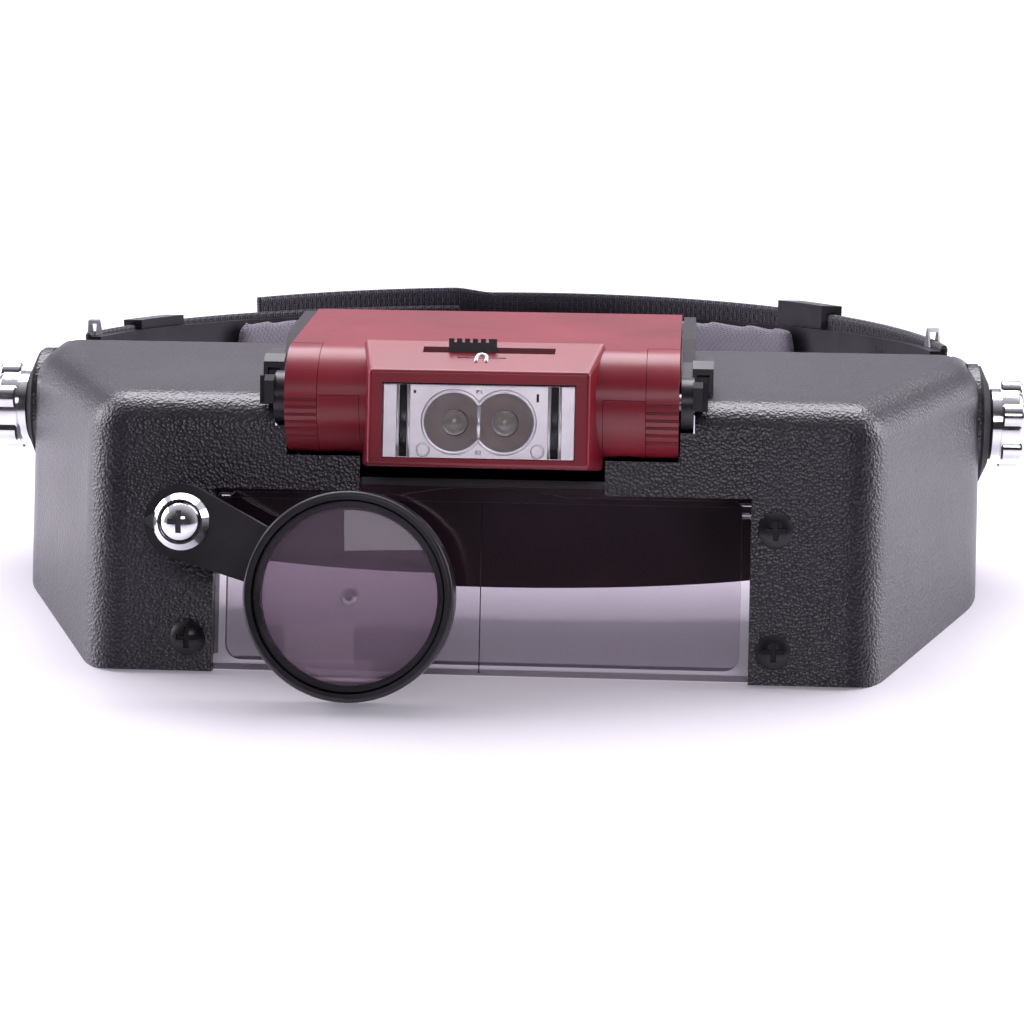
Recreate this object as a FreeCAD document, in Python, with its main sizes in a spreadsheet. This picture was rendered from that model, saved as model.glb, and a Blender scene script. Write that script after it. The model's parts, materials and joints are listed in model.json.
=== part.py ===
"""Head visor magnifier: a headband, a tilting visor with two wide lenses, a loupe on an arm and a lamp.

Two local frames share one origin, the middle of the axis that the visor tilts on. In the band frame z is
upright. In the visor frame z runs up the lens plane, and the whole frame leans back by visor_lean. In both
x is across the head and y runs from front (negative) to rear.
"""
import FreeCAD, Part
import math
import os
import re

from FreeCAD import Placement, Rotation, Vector

doc = FreeCAD.newDocument("head_visor_magnifier")
sheet = doc.addObject("Spreadsheet::Sheet", "sizes")

SIZES = """
pivot_back -22.6      the tilt axis, measured back from the middle of the footprint
pivot_up 31.015       the tilt axis above the table
visor_lean 18         lens plane leaning back, degrees
visor_wall 2.2        thickness of the visor's wall
visor_front -62       front face
visor_corner 74       half width at the sharp front corner
visor_side 98.6       half width over the flat cheeks
visor_flare_end -13   where the flare meets the flat cheek
visor_back 13         rear end of the cheeks
visor_top_front 0.3   top plane at the front face
visor_top_slope 13.4  rise of the top plane to the rear, degrees
visor_top_back -4     rear edge of the top panel
visor_bottom -52.1    bottom of the front face
visor_foot_start -60  where the straight foot edge begins
front_corner_round 10 rounding of the two front corners
flare_round 30        rounding where the flare meets the cheek
top_round 8           rounding of the edge round the top panel
window_half 51        half width of the lens window
window_top -17.1      underside of the brow
pivot_boss 12.6       radius of the boss round each pivot
pocket_half 37.35     half width of the lamp's pocket
pocket_floor -10.5    lowest point of the pocket in the front face
pocket_back -40       rear end of the pocket in the top panel
notch_half 23.3       half width of the notch under the lamp's head
lens_front -59.3      front of the main lens
lens_thick 3.3        main lens thickness
lens_half 60          half width of the main lens with its flanges
lens_top -18.8        top edge of the main lens
lens_low -51.8        bottom edge of the main lens
foot_clear 0.1        gap between the lenses and the table
screw_across 55.6     lens screws from the middle
screw_high -22.9      upper lens screws
screw_low -45.7       lower lens screws
screw_radius 1.5      lens screw shank
screw_hole 1.6        hole for a lens screw
flip_front -55.1      front of the flip lens
flip_thick 3          flip lens thickness
flip_half 49.4        half width of the flip lens
flip_low -50          bottom edge of the flip lens
flip_shoulder -17.6   top edge of the flip lens beside its thumb crest
flip_crest -15.9      top of the thumb crest
flip_crest_half 16    half width of the thumb crest
flip_axis_y -53.6     hinge axis of the flip lens
flip_axis_z -19.4     hinge axis of the flip lens
flip_pin 1.5          hinge pin radius
running_gap 0.06      radial clearance of every hinge pin
retainer_in 51.4      inner side of a lens retainer
retainer_out 59.6     outer side of a lens retainer
retainer_back -51     rear face of a lens retainer
lamp_y -59            lamp tube axis
lamp_z 0.6            lamp tube axis
lamp_radius 10.4      lamp tube radius
lamp_wall 1.4         wall of the lamp casing
lamp_half 37          half width of the lamp over its end caps
cap_inner 30.8        inner end of the end caps
lamp_back -24         rear face of the lamp
lamp_back_top 20.1    rear top edge of the lamp
head_front -74        front face of the lamp's head
head_back -62         rear end of the lamp's head
head_half_front 20.6  half width of the head's front face
head_half_back 22.9   half width of the head at its root
head_low -12.4        underside of the head
head_top_front 5.4    top of the head at the front
head_top_back 11.6    top of the head at its root
bezel_half 17.95      half width of the lamp's window opening
bezel_low -10.9       lower edge of the opening
bezel_high 3.1        upper edge of the opening
led_half 4.7          light emitters from the middle
led_z -4              light emitters' height
led_radius 2.4        light emitter radius
cell_radius 5.25      battery cell radius
cell_length 44.5      battery cell length
cell_y -47.5          rear cell's axis
cell_z 5.5            rear cell's axis
slot_low -11.3        left end of the switch slot
slot_high 13.6        right end of the switch slot
slider_low -6.4       left end of the switch slider
slider_high 2.6       right end of the switch slider
arm_in 37.4           inner side of the lamp bracket's side arms
arm_out 39.8          outer side of the lamp bracket's side arms
cradle_radius 15      lamp bracket's cradle round the tube axis
cradle_wall 1.4       wall of that cradle
loupe_x -22.8         loupe centre
loupe_z -36.7         loupe centre
loupe_radius 19.5     outside of the loupe ring
loupe_back -73.5      rear of the loupe ring
loupe_front -80.5     front of the loupe ring
loupe_arm_thick 3.4   thickness of the loupe arm
loupe_pivot_x -54.5   loupe pivot
loupe_pivot_z -23.6   loupe pivot
loupe_pivot_round 7   round end of the loupe arm
bolt_radius 2.5       pivot bolt
ear_radius 10.2       ear plates round the pivot
ear_front 10          where the forehead band starts to curve, ahead of the pivot
band_side 95          half width over the forehead band
band_front 36.6       forehead band ahead of the pivot
band_wall 2.2         thickness of the plastic band pieces
arm_side 92.7         half width over the rear arms
rear_reach 137.2      rear arms behind the pivot
arm_top 14.4          rear arms' top edge beside the pivot
arm_low -7.9          rear arms' lower edge beside the pivot
arm_fall 0.19         fall of the arms' top edge to the rear, per unit of length
strap_gap 0.1         between a rear arm and the strap
strap_thick 1.6       thickness of the long strap
short_thick 1.35      thickness of the short strap
strap_top 15          straps' top edge beside the pivot
strap_height 24.4     height of the long strap
short_height 20.9     height of the short strap
strap_fall 0.155      fall of the long strap to the rear, per unit of length
short_fall 0.181      fall of the short strap to the rear, per unit of length
lap_step 1.45         step of the long strap's end out over the short strap
lap_start -20         where the straps start to lap, across the head
lap_end -67           free end of the long strap, across the head
knob_outer 108.1      outer face of the knobs
knob_radius 9.4       knob radius over its lobes
collar_radius 7.5     knob collar radius
washer_radius 12.2    rubber washer radius
""".strip().splitlines()

for row, line in enumerate(SIZES, 1):
    alias, number, meaning = line.split(None, 2)
    sheet.set(f"A{row}", alias)
    sheet.set(f"B{row}", number)
    sheet.set(f"C{row}", meaning)
    sheet.setAlias(f"B{row}", alias)
doc.recompute()


def size(alias):
    """A driving dimension's value."""
    return float(sheet.get(alias))


PIVOT = Vector(0, size("pivot_back"), size("pivot_up"))
BAND_FRAME = Placement(PIVOT, Rotation())
VISOR_FRAME = Placement(PIVOT, Rotation(Vector(1, 0, 0), -size("visor_lean")))
TURN_TO = {"x": Rotation(Vector(0, 1, 0), 90), "-x": Rotation(Vector(0, 1, 0), -90),
           "y": Rotation(Vector(1, 0, 0), -90), "-y": Rotation(Vector(1, 0, 0), 90), "z": Rotation()}
BEYOND = 40     # how far a cutting tool runs past what it cuts
nodes = []


# ---- shared building steps ----------------------------------------------------------------------

def bound(expression):
    """An expression in which every word is a cell of the sheet."""
    return re.sub(r"[a-z]\w*", r"sizes.\g<0>", str(expression))


def block(name, x, y, z):
    """A box between a low and a high expression on each axis."""
    box = doc.addObject("Part::Box", name)
    for side, axis, (low, high) in zip(("Length", "Width", "Height"), "xyz", (x, y, z)):
        box.setExpression(side, f"({bound(high)}) - ({bound(low)})")
        box.setExpression(f"Placement.Base.{axis}", bound(low))
    return box


def rod(name, radius, axis, low, high, centre):
    """A cylinder along one axis; centre holds its other two coordinates."""
    cylinder = doc.addObject("Part::Cylinder", name)
    cylinder.setExpression("Radius", bound(radius))
    cylinder.setExpression("Height", f"({bound(high)}) - ({bound(low)})")
    cylinder.Placement = Placement(Vector(), TURN_TO[axis])
    others = [other for other in "xyz" if other != axis]
    cylinder.setExpression(f"Placement.Base.{axis}", bound(low))
    for other, place in zip(others, centre):
        cylinder.setExpression(f"Placement.Base.{other}", bound(place))
    return cylinder


def draw(sketch, outline):
    """Straight edges between points; an item of two points is an arc through the first to the second."""
    at = Vector(*outline[0], 0)
    first = at
    for item in outline[1:]:
        if isinstance(item[0], tuple):
            middle, end = Vector(*item[0], 0), Vector(*item[1], 0)
            sketch.addGeometry(Part.Arc(at, middle, end))
        else:
            end = Vector(*item, 0)
            sketch.addGeometry(Part.LineSegment(at, end))
        at = end
    if at.distanceToPoint(first) > 1e-6:
        sketch.addGeometry(Part.LineSegment(at, first))


def dome(radius, base, tall):
    """An arc from (radius, base) to the turning axis, tall above the base, or below it when negative."""
    ball = (radius ** 2 + tall ** 2) / (2 * abs(tall))
    half_turn = math.asin(min(1, radius / ball)) / 2
    rise = abs(tall) - ball * (1 - math.cos(half_turn))
    return (ball * math.sin(half_turn), base + math.copysign(rise, tall)), (0, base + tall)


def sketched(name, plane, offset):
    """A body with an empty sketch on one of its own origin planes, moved along the plane's normal."""
    body = doc.addObject("PartDesign::Body", name)
    sketch = body.newObject("Sketcher::SketchObject", name + "_outline")
    base = next(part for part in body.Origin.OriginFeatures if part.Role == plane)
    sketch.AttachmentSupport = [(base, "")]
    sketch.MapMode = "FlatFace"
    sketch.setExpression("AttachmentOffset.Base.z", offset)
    return body, sketch


def pad(name, plane, outline, low, high):
    """An outline padded from low to high along x (YZ_Plane), y (XZ_Plane) or z (XY_Plane)."""
    start = f"-({bound(high)})" if plane == "XZ_Plane" else bound(low)
    body, sketch = sketched(name, plane, start)
    draw(sketch, outline)
    solid = body.newObject("PartDesign::Pad", name + "_pad")
    solid.Profile = sketch
    solid.setExpression("Length", f"({bound(high)}) - ({bound(low)})")
    return body


def turned(name, profile, centre, towards):
    """A profile of (radius, height) points turned round its height axis, which then points along an axis."""
    body, sketch = sketched(name, "XZ_Plane", "0")
    draw(sketch, profile)
    solid = body.newObject("PartDesign::Revolution", name + "_turn")
    solid.Profile = sketch
    solid.ReferenceAxis = (sketch, ["V_Axis"])
    solid.Angle = 360
    body.Placement = Placement(Vector(*centre), TURN_TO[towards])
    return body


def fuse(name, *parts):
    result = doc.addObject("Part::MultiFuse", name)
    result.Shapes = list(parts)
    return result


def cut(name, base, *tools):
    result = doc.addObject("Part::Cut", name)
    result.Base = base
    result.Tool = tools[0] if len(tools) == 1 else fuse(name + "_tools", *tools)
    return result


def common(name, first, second):
    result = doc.addObject("Part::Common", name)
    result.Base = first
    result.Tool = second
    return result


def group(name, *parts):
    """Separate solids that share one node."""
    result = doc.addObject("Part::Compound", name)
    result.Links = list(parts)
    return result


def feature(name, shape):
    result = doc.addObject("Part::Feature", name)
    result.Shape = shape
    return result


def node(name, part, frame):
    """Names a finished sub-part and puts it in its frame."""
    part.Label = name
    part.Placement = frame.multiply(part.Placement)
    nodes.append(part)


def both_sides(make):
    """Makes a right-hand piece and its left-hand twin."""
    for hand, sign in (("right", 1), ("left", -1)):
        make(hand, sign)


def mirrored(sign, low, high):
    """An x range on the right, or the same range on the left."""
    return (low, high) if sign > 0 else (f"-({high})", f"-({low})")


def cross_recess(name, across, deep_from, deep_to, x, z):
    """The cross in a screw's head, cut along y round (x, z)."""
    long, short = 2 * across, 0.5 * across
    bars = []
    for turn, (wide, tall) in enumerate(((long, short), (short, long))):
        bars.append(block(f"{name}_{turn}", (f"{x} - {wide / 2}", f"{x} + {wide / 2}"),
                          (deep_from, deep_to), (f"{z} - {tall / 2}", f"{z} + {tall / 2}")))
    return bars


# ---- visor shell --------------------------------------------------------------------------------

def top_plane(y):
    """Height of the visor's top panel."""
    rise = math.tan(math.radians(size("visor_top_slope")))
    return size("visor_top_front") + (y - size("visor_front")) * rise


def foot_line(y):
    """Height of the cheeks' foot edge, which lies flat on the table when the visor stands."""
    return size("visor_bottom") + (y - size("visor_foot_start")) * math.tan(math.radians(size("visor_lean")))


def visor_form(inset):
    """The visor's solid form, smaller all round by inset; it runs on past the rear and the bottom."""
    front, far = size("visor_front"), size("visor_back") + BEYOND
    corner, side, flare = size("visor_corner"), size("visor_side"), size("visor_flare_end")
    half = [(corner, front), (side, flare), (side, far)]
    outline = half + [(-x, y) for x, y in reversed(half)]
    plan = Part.makePolygon([Vector(x, y, -2 * BEYOND) for x, y in outline + outline[:1]])
    if inset:
        plan = plan.makeOffset2D(-inset, 2)
    form = Part.Face(plan).extrude(Vector(0, 0, 4 * BEYOND))
    uprights = [edge for edge in form.Edges if abs(edge.tangentAt(edge.FirstParameter).z) > 0.99]
    front_edges = [edge for edge in uprights if edge.CenterOfMass.y < (front + flare) / 2]
    form = form.makeFillet(size("front_corner_round") - inset, front_edges)
    uprights = [edge for edge in form.Edges if abs(edge.tangentAt(edge.FirstParameter).z) > 0.99]
    flares = [edge for edge in uprights if abs(edge.CenterOfMass.y - flare) < 3]
    form = form.makeFillet(size("flare_round") - inset, flares)
    slope = size("visor_top_slope")
    lid = Part.makeBox(8 * BEYOND, 8 * BEYOND, 4 * BEYOND, Vector(-4 * BEYOND, -2 * BEYOND, -inset))
    lid.rotate(Vector(), Vector(1, 0, 0), slope)
    lid.translate(Vector(0, front, size("visor_top_front")))
    form = form.cut(lid)
    up = Vector(0, -math.sin(math.radians(slope)), math.cos(math.radians(slope)))
    top = next(face for face in form.Faces if face.normalAt(0, 0).isEqual(up, 1e-4))
    rims = [edge for edge in top.Edges if edge.CenterOfMass.y < size("visor_back") + BEYOND - 5]
    return form.makeFillet(size("top_round") - inset, rims)


SCREW_PLACES = {"right_high": ("screw_across", "screw_high"), "right_low": ("screw_across", "screw_low"),
                "left_low": ("-screw_across", "screw_low"), "left_high": ("loupe_pivot_x", "loupe_pivot_z")}


def screw_holes(name, back, side=""):
    """Bores from ahead of the visor to a rear end, for the lens screws and the loupe's screw."""
    return [rod(f"{name}_hole_{where}", "screw_hole", "y", "visor_front - 10", back, place)
            for where, place in SCREW_PLACES.items() if where.startswith(side)]


def make_visor_shell():
    wall, bottom = size("visor_wall"), size("visor_bottom")
    back, start = size("visor_back"), size("visor_foot_start")
    shell = feature("visor_skin", visor_form(0).cut(visor_form(wall)))
    panel_end = size("visor_top_back")
    heel = foot_line(back)
    side_view = [(size("visor_front") - 2, bottom), (start, bottom), (back - 4.85, foot_line(back - 4.85)),
                 ((back - 1.34, heel + 0.97), (back, heel + 5.1)), (back, 5),
                 ((back - 1.9, 10.6), (back - 6, 12.8)), (panel_end, top_plane(panel_end)),
                 (panel_end, BEYOND), (size("visor_front") - 2, BEYOND)]
    trim = pad("visor_side_view", "YZ_Plane", side_view, "-120", "120")
    bosses = [rod(f"visor_boss_{hand}", "pivot_boss", "x",
                  *mirrored(sign, "visor_side - visor_wall", "visor_side"), ("0", "0"))
              for hand, sign in (("right", 1), ("left", -1))]
    body = fuse("visor_bossed", common("visor_trimmed", shell, trim), *bosses)
    ahead = "visor_front - 10"
    rear_cut = block("visor_rear_cut", ("-93.3", "93.3"), ("visor_top_back", "40"), ("0", "40"))
    window = block("visor_window", ("-window_half", "window_half"), (ahead, "-50"), ("-60", "window_top"))
    pocket = block("visor_pocket", ("-pocket_half", "pocket_half"), (ahead, "pocket_back"),
                   ("pocket_floor", "40"))
    notch = block("visor_notch", ("-notch_half", "notch_half"), (ahead, "-50"),
                  ("window_top - 1", "pocket_floor + 1"))
    tools = [rear_cut, window, pocket, notch]
    for hand, sign in (("right", 1), ("left", -1)):
        tools.append(block(f"visor_arm_notch_{hand}", mirrored(sign, "pocket_half - 1", "arm_out + 0.2"),
                           (ahead, "-51.4"), ("-5", "40")))
        tools.append(rod(f"visor_pivot_hole_{hand}", "bolt_radius + running_gap", "x",
                         *mirrored(sign, "90", "110"), ("0", "0")))
        tools.append(rod(f"visor_bracket_hole_{hand}", "1.3", "z", "-10", "12", (f"{sign} * 41.6", "-47")))
    tools += screw_holes("visor", "-55")
    node("visor_shell", cut("visor_shell", body, *tools), VISOR_FRAME)


# ---- lenses of the visor ------------------------------------------------------------------------

def below_foot(name):
    """What is taken off a lens so that it stays clear of the table."""
    lift, front, back = size("foot_clear"), -66, -46
    outline = [(front, foot_line(front) + lift), (back, foot_line(back) + lift), (back, -70), (front, -70)]
    return pad(name, "YZ_Plane", outline, "-80", "80")


def make_main_lens():
    """Two flanges run behind the cheeks, where the screws hold them."""
    half, top, low = size("lens_half"), size("lens_top"), size("lens_low")
    outline = [(-half + 2, top), (half - 2, top), (half, top - 2), (half, low + 2), (half - 2, low),
               (-half + 2, low), (-half, low + 2), (-half, top - 2)]
    plate = pad("main_lens_plate", "XZ_Plane", outline, "lens_front", "lens_front + lens_thick")
    tools = [below_foot("main_lens_bevel")] + screw_holes("main_lens", "-50")
    node("main_lens", cut("main_lens", plate, *tools), VISOR_FRAME)


def make_retainer(hand, sign):
    """A backing strip for the lens flange; its upper end is the socket for the flip lens's pin."""
    strip = block(f"retainer_strip_{hand}", mirrored(sign, "retainer_in", "retainer_out"),
                  ("lens_front + lens_thick + 0.05", "retainer_back"), ("-49", "window_top - 0.2"))
    tools = screw_holes(f"retainer_{hand}", "-40", hand)
    tools.append(rod(f"retainer_socket_{hand}", "flip_pin + running_gap", "x",
                     *mirrored(sign, "retainer_in - 1", "retainer_in + 3"), ("flip_axis_y", "flip_axis_z")))
    node(f"lens_retainer_{hand}", cut(f"lens_retainer_{hand}", strip, *tools), VISOR_FRAME)


def pan_head_screw(name, x, z, face):
    """A pan-head machine screw that runs to the rear from a front face."""
    head, tall, shank, reach = 3.3, 1.9, size("screw_radius"), 13.2
    rim = tall * 0.35
    profile = [(0, -reach), (shank, -reach), (shank, 0), (head, 0), (head, rim), dome(head, rim, tall - rim)]
    screw = turned(name + "_turned", profile, (x, face, z), "-y")
    crown = face - tall
    return cut(name, screw, *cross_recess(name + "_cross", 2, f"{crown} - 1", f"{crown} + 1.1", x, z))


def hex_nut(name, x, z, start):
    """A hexagonal nut behind a screw."""
    flat, hole = 2.5, size("screw_radius") + 0.05
    corner = flat / math.cos(math.radians(30))
    points = [(x + corner * math.cos(math.radians(60 * turn)), z + corner * math.sin(math.radians(60 * turn)))
              for turn in range(6)]
    hexagon = pad(name + "_hexagon", "XZ_Plane", points, f"{start}", f"{start} + 2.4")
    return cut(name, hexagon, rod(name + "_bore", hole, "y", f"{start} - 1", f"{start} + 4", (x, z)))


def make_lens_screws():
    across, high, low = size("screw_across"), size("screw_high"), size("screw_low")
    places = {"right_high": (across, high), "right_low": (across, low), "left_low": (-across, low)}
    behind = size("retainer_back") + 0.05
    screws = [pan_head_screw(f"lens_screw_{where}", x, z, size("visor_front") - 0.05)
              for where, (x, z) in places.items()]
    nuts = [hex_nut(f"lens_nut_{where}", x, z, behind) for where, (x, z) in places.items()]
    node("lens_screws", group("lens_screws", *screws), VISOR_FRAME)
    node("lens_nuts", group("lens_nuts", *nuts), VISOR_FRAME)


def make_flip_lens():
    """A second lens behind the first, on two side pins, with a crest at the top to flip it by."""
    half, low, shoulder = size("flip_half"), size("flip_low"), size("flip_shoulder")
    crest, crest_half = size("flip_crest"), size("flip_crest_half")
    outline = [(-half, shoulder - 1), (-half + 1, shoulder), (-crest_half, shoulder),
               ((0, crest), (crest_half, shoulder)), (half - 1, shoulder), (half, shoulder - 1),
               (half, low + 3), ((half - 0.9, low + 0.9), (half - 3, low)), (-half + 3, low),
               ((-half + 0.9, low + 0.9), (-half, low + 3))]
    plate = pad("flip_lens_plate", "XZ_Plane", outline, "flip_front", "flip_front + flip_thick")
    pins = [rod(f"flip_pin_{hand}", "flip_pin", "x", *mirrored(sign, "flip_half - 0.5", "retainer_in + 2.7"),
                ("flip_axis_y", "flip_axis_z")) for hand, sign in (("right", 1), ("left", -1))]
    node("flip_lens", cut("flip_lens", fuse("flip_lens_full", plate, *pins), below_foot("flip_lens_bevel")),
         VISOR_FRAME)


make_visor_shell()
make_main_lens()
both_sides(make_retainer)
make_lens_screws()
make_flip_lens()


# ---- lamp bracket, fixed to the visor -----------------------------------------------------------

def on_lamp_circle(radius, degrees):
    """A point (y, z) round the lamp tube's axis; 0 degrees points to the rear and 90 up."""
    turn = math.radians(degrees)
    return size("lamp_y") + radius * math.cos(turn), size("lamp_z") + radius * math.sin(turn)


def lamp_top_line():
    """Where the lamp's flat top leaves the tube, and its rear top corner."""
    corner = Vector(size("lamp_back"), size("lamp_back_top"))
    away = corner - Vector(size("lamp_y"), size("lamp_z"))
    spread = math.acos(size("lamp_radius") / away.Length)
    touch = on_lamp_circle(size("lamp_radius"), math.degrees(math.atan2(away.y, away.x) + spread))
    return touch, (corner.x, corner.y)


def make_lamp_bracket():
    """Two side arms, a cradle under the tube that also closes the pocket, feet and finger tabs."""
    inner = size("cradle_radius")
    outer = inner + size("cradle_wall")
    back = size("pocket_back")
    under_panel = top_plane(back) - size("visor_wall") - 0.3
    cradle = [on_lamp_circle(inner, -92), (on_lamp_circle(inner, -55), on_lamp_circle(inner, -15)),
              (back - 0.3, -2.4), (back - 0.3, under_panel), (back + 1.3, under_panel), (back + 1.3, -3.8),
              on_lamp_circle(outer, -16), (on_lamp_circle(outer, -55), on_lamp_circle(outer, -92))]
    pieces = [pad("bracket_cradle", "YZ_Plane", cradle, "-arm_out", "arm_out")]
    touch, corner = lamp_top_line()
    shoulder = (-47, corner[1] + (corner[1] - touch[1]) / (corner[0] - touch[0]) * (-47 - corner[0]) - 0.6)
    clear = 0.35
    arm = [(corner[0] - 0.4, corner[1] - 0.5), (corner[0] - 0.4, top_plane(corner[0]) + clear),
           (-50, top_plane(-50) + clear), (-51.7, top_plane(-51.7) + clear), (-51.7, -4.6), (-60, -4.6),
           ((-64.3, 0.6), (-60, 5.6)), (-54, 5.9), (-51, 9), shoulder]
    for hand, sign in (("right", 1), ("left", -1)):
        side = pad(f"bracket_arm_{hand}", "YZ_Plane", arm, *mirrored(sign, "arm_in", "arm_out"))
        bore = rod(f"bracket_bore_{hand}", 2, "x", *mirrored(sign, "arm_in - 1", "arm_out - 0.8"),
                   ("lamp_y", "lamp_z"))
        web = pad(f"bracket_web_{hand}", "YZ_Plane",
                  [(-58.8, -14.6), (-58.8, -4.5), (-52, -4.5), (-42, -2.6), (-42, -4.2), (-48, -9)],
                  *mirrored(sign, "pocket_half + 0.05", "arm_out"))
        foot = [(-54, top_plane(-54) + clear), (-41, top_plane(-41) + clear), (-41, top_plane(-41) + 4.4),
                (-43, top_plane(-43) + 6), (-52, top_plane(-52) + 6.6), (-54, top_plane(-54) + 5.4)]
        box = pad(f"bracket_foot_{hand}", "YZ_Plane", foot, *mirrored(sign, "arm_out - 0.4", "arm_out + 3.6"))
        slot = block(f"bracket_slot_{hand}", mirrored(sign, "arm_out + 0.4", "arm_out + 2.8"),
                     ("-56", "-52.4"), (top_plane(-53) + 1.6, top_plane(-53) + 4))
        screw = rod(f"bracket_screw_bore_{hand}", 1.05, "z", "0", top_plane(-47) + 4.5,
                    (f"{sign} * 41.6", "-47"))
        pieces.append(cut(f"bracket_side_{hand}", fuse(f"bracket_full_{hand}", side, web, box),
                          bore, slot, screw))
        tab = [(-55.2, 4.3), (-64.4, 4.6), (-65.4, 3.4), (-64.6, -0.9), (-60.6, -0.9), (-58, 1.3),
               (-55.2, 2.4)]
        pieces.append(pad(f"bracket_tab_{hand}", "YZ_Plane", tab,
                          *mirrored(sign, "arm_out - 0.2", "arm_out + 1.6")))
        for rib, (at, foot) in enumerate(((-63.8, -0.9), (-61.5, -0.9), (-59.2, 1.3))):
            outline = [(at, foot), (at + 1, foot), (at + 0.5, 4.4), (at - 0.5, 4.4)]
            pieces.append(pad(f"bracket_rib_{hand}_{rib}", "YZ_Plane", outline,
                              *mirrored(sign, "arm_out + 1.5", "arm_out + 2.6")))
    node("lamp_bracket", fuse("lamp_bracket", *pieces), VISOR_FRAME)


def make_bracket_fasteners():
    """Screws up into the feet from inside the visor, and the pins that the lamp tilts on."""
    screws, pins = [], []
    for hand, sign in (("right", 1), ("left", -1)):
        x = sign * 41.6
        under = top_plane(-47) - 3.9
        profile = [(0, 6), (1, 6), (1, 0), (2.2, 0), (2.2, -0.6), dome(2.2, -0.6, -0.9)]
        screws.append(turned(f"bracket_screw_{hand}", profile, (x, -47, under), "z"))
        pins.append(rod(f"lamp_pin_{hand}", 1.95, "x", *mirrored(sign, "lamp_half - 3", "arm_out - 0.8"),
                        ("lamp_y", "lamp_z")))
    node("bracket_screws", group("bracket_screws", *screws), VISOR_FRAME)
    node("lamp_pivot_pins", group("lamp_pivot_pins", *pins), VISOR_FRAME)


# ---- lamp ---------------------------------------------------------------------------------------

def lamp_section(name, inset, low, high):
    """The casing's section behind and over the tube, smaller by inset."""
    touch, corner = lamp_top_line()
    radius = size("lamp_radius") - inset
    slope = (corner[1] - touch[1]) / (corner[0] - touch[0])
    rest = 0.65 + inset
    step = size("pocket_back") - 0.8 - inset
    outline = [on_lamp_circle(radius, 104), (corner[0] - inset, corner[1] - inset * (1.03 + slope)),
               (corner[0] - inset, top_plane(corner[0]) + rest), (step, top_plane(step) + rest),
               (step, -1.4 + inset), (-51, -1.4 + inset), (size("lamp_y"), size("lamp_z"))]
    body = pad(name + "_back", "YZ_Plane", outline, low, high)
    tube = rod(name + "_tube", f"lamp_radius - {inset}", "x", low, high, ("lamp_y", "lamp_z"))
    return fuse(name, body, tube)


def lamp_head():
    """The tapered head that carries the lights."""
    rings = []
    for y, half, top in (("head_back", "head_half_back", "head_top_back"),
                         ("head_front", "head_half_front", "head_top_front")):
        x, low, high, depth = size(half), size("head_low"), size(top), size(y)
        rings.append(Part.makePolygon([Vector(-x, depth, low), Vector(x, depth, low), Vector(x, depth, high),
                                       Vector(-x, depth, high), Vector(-x, depth, low)]))
    head = Part.makeLoft(rings, True, True)
    front = size("head_front")
    edges = [edge for edge in head.Edges
             if min(vertex.Point.y for vertex in edge.Vertexes) < front + 0.1]
    return feature("lamp_head_form", head.makeFillet(0.9, edges))


def lamp_screw_places():
    return [(f"{sign} * 27.4", "lamp_y") for sign in (1, -1)]


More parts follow.
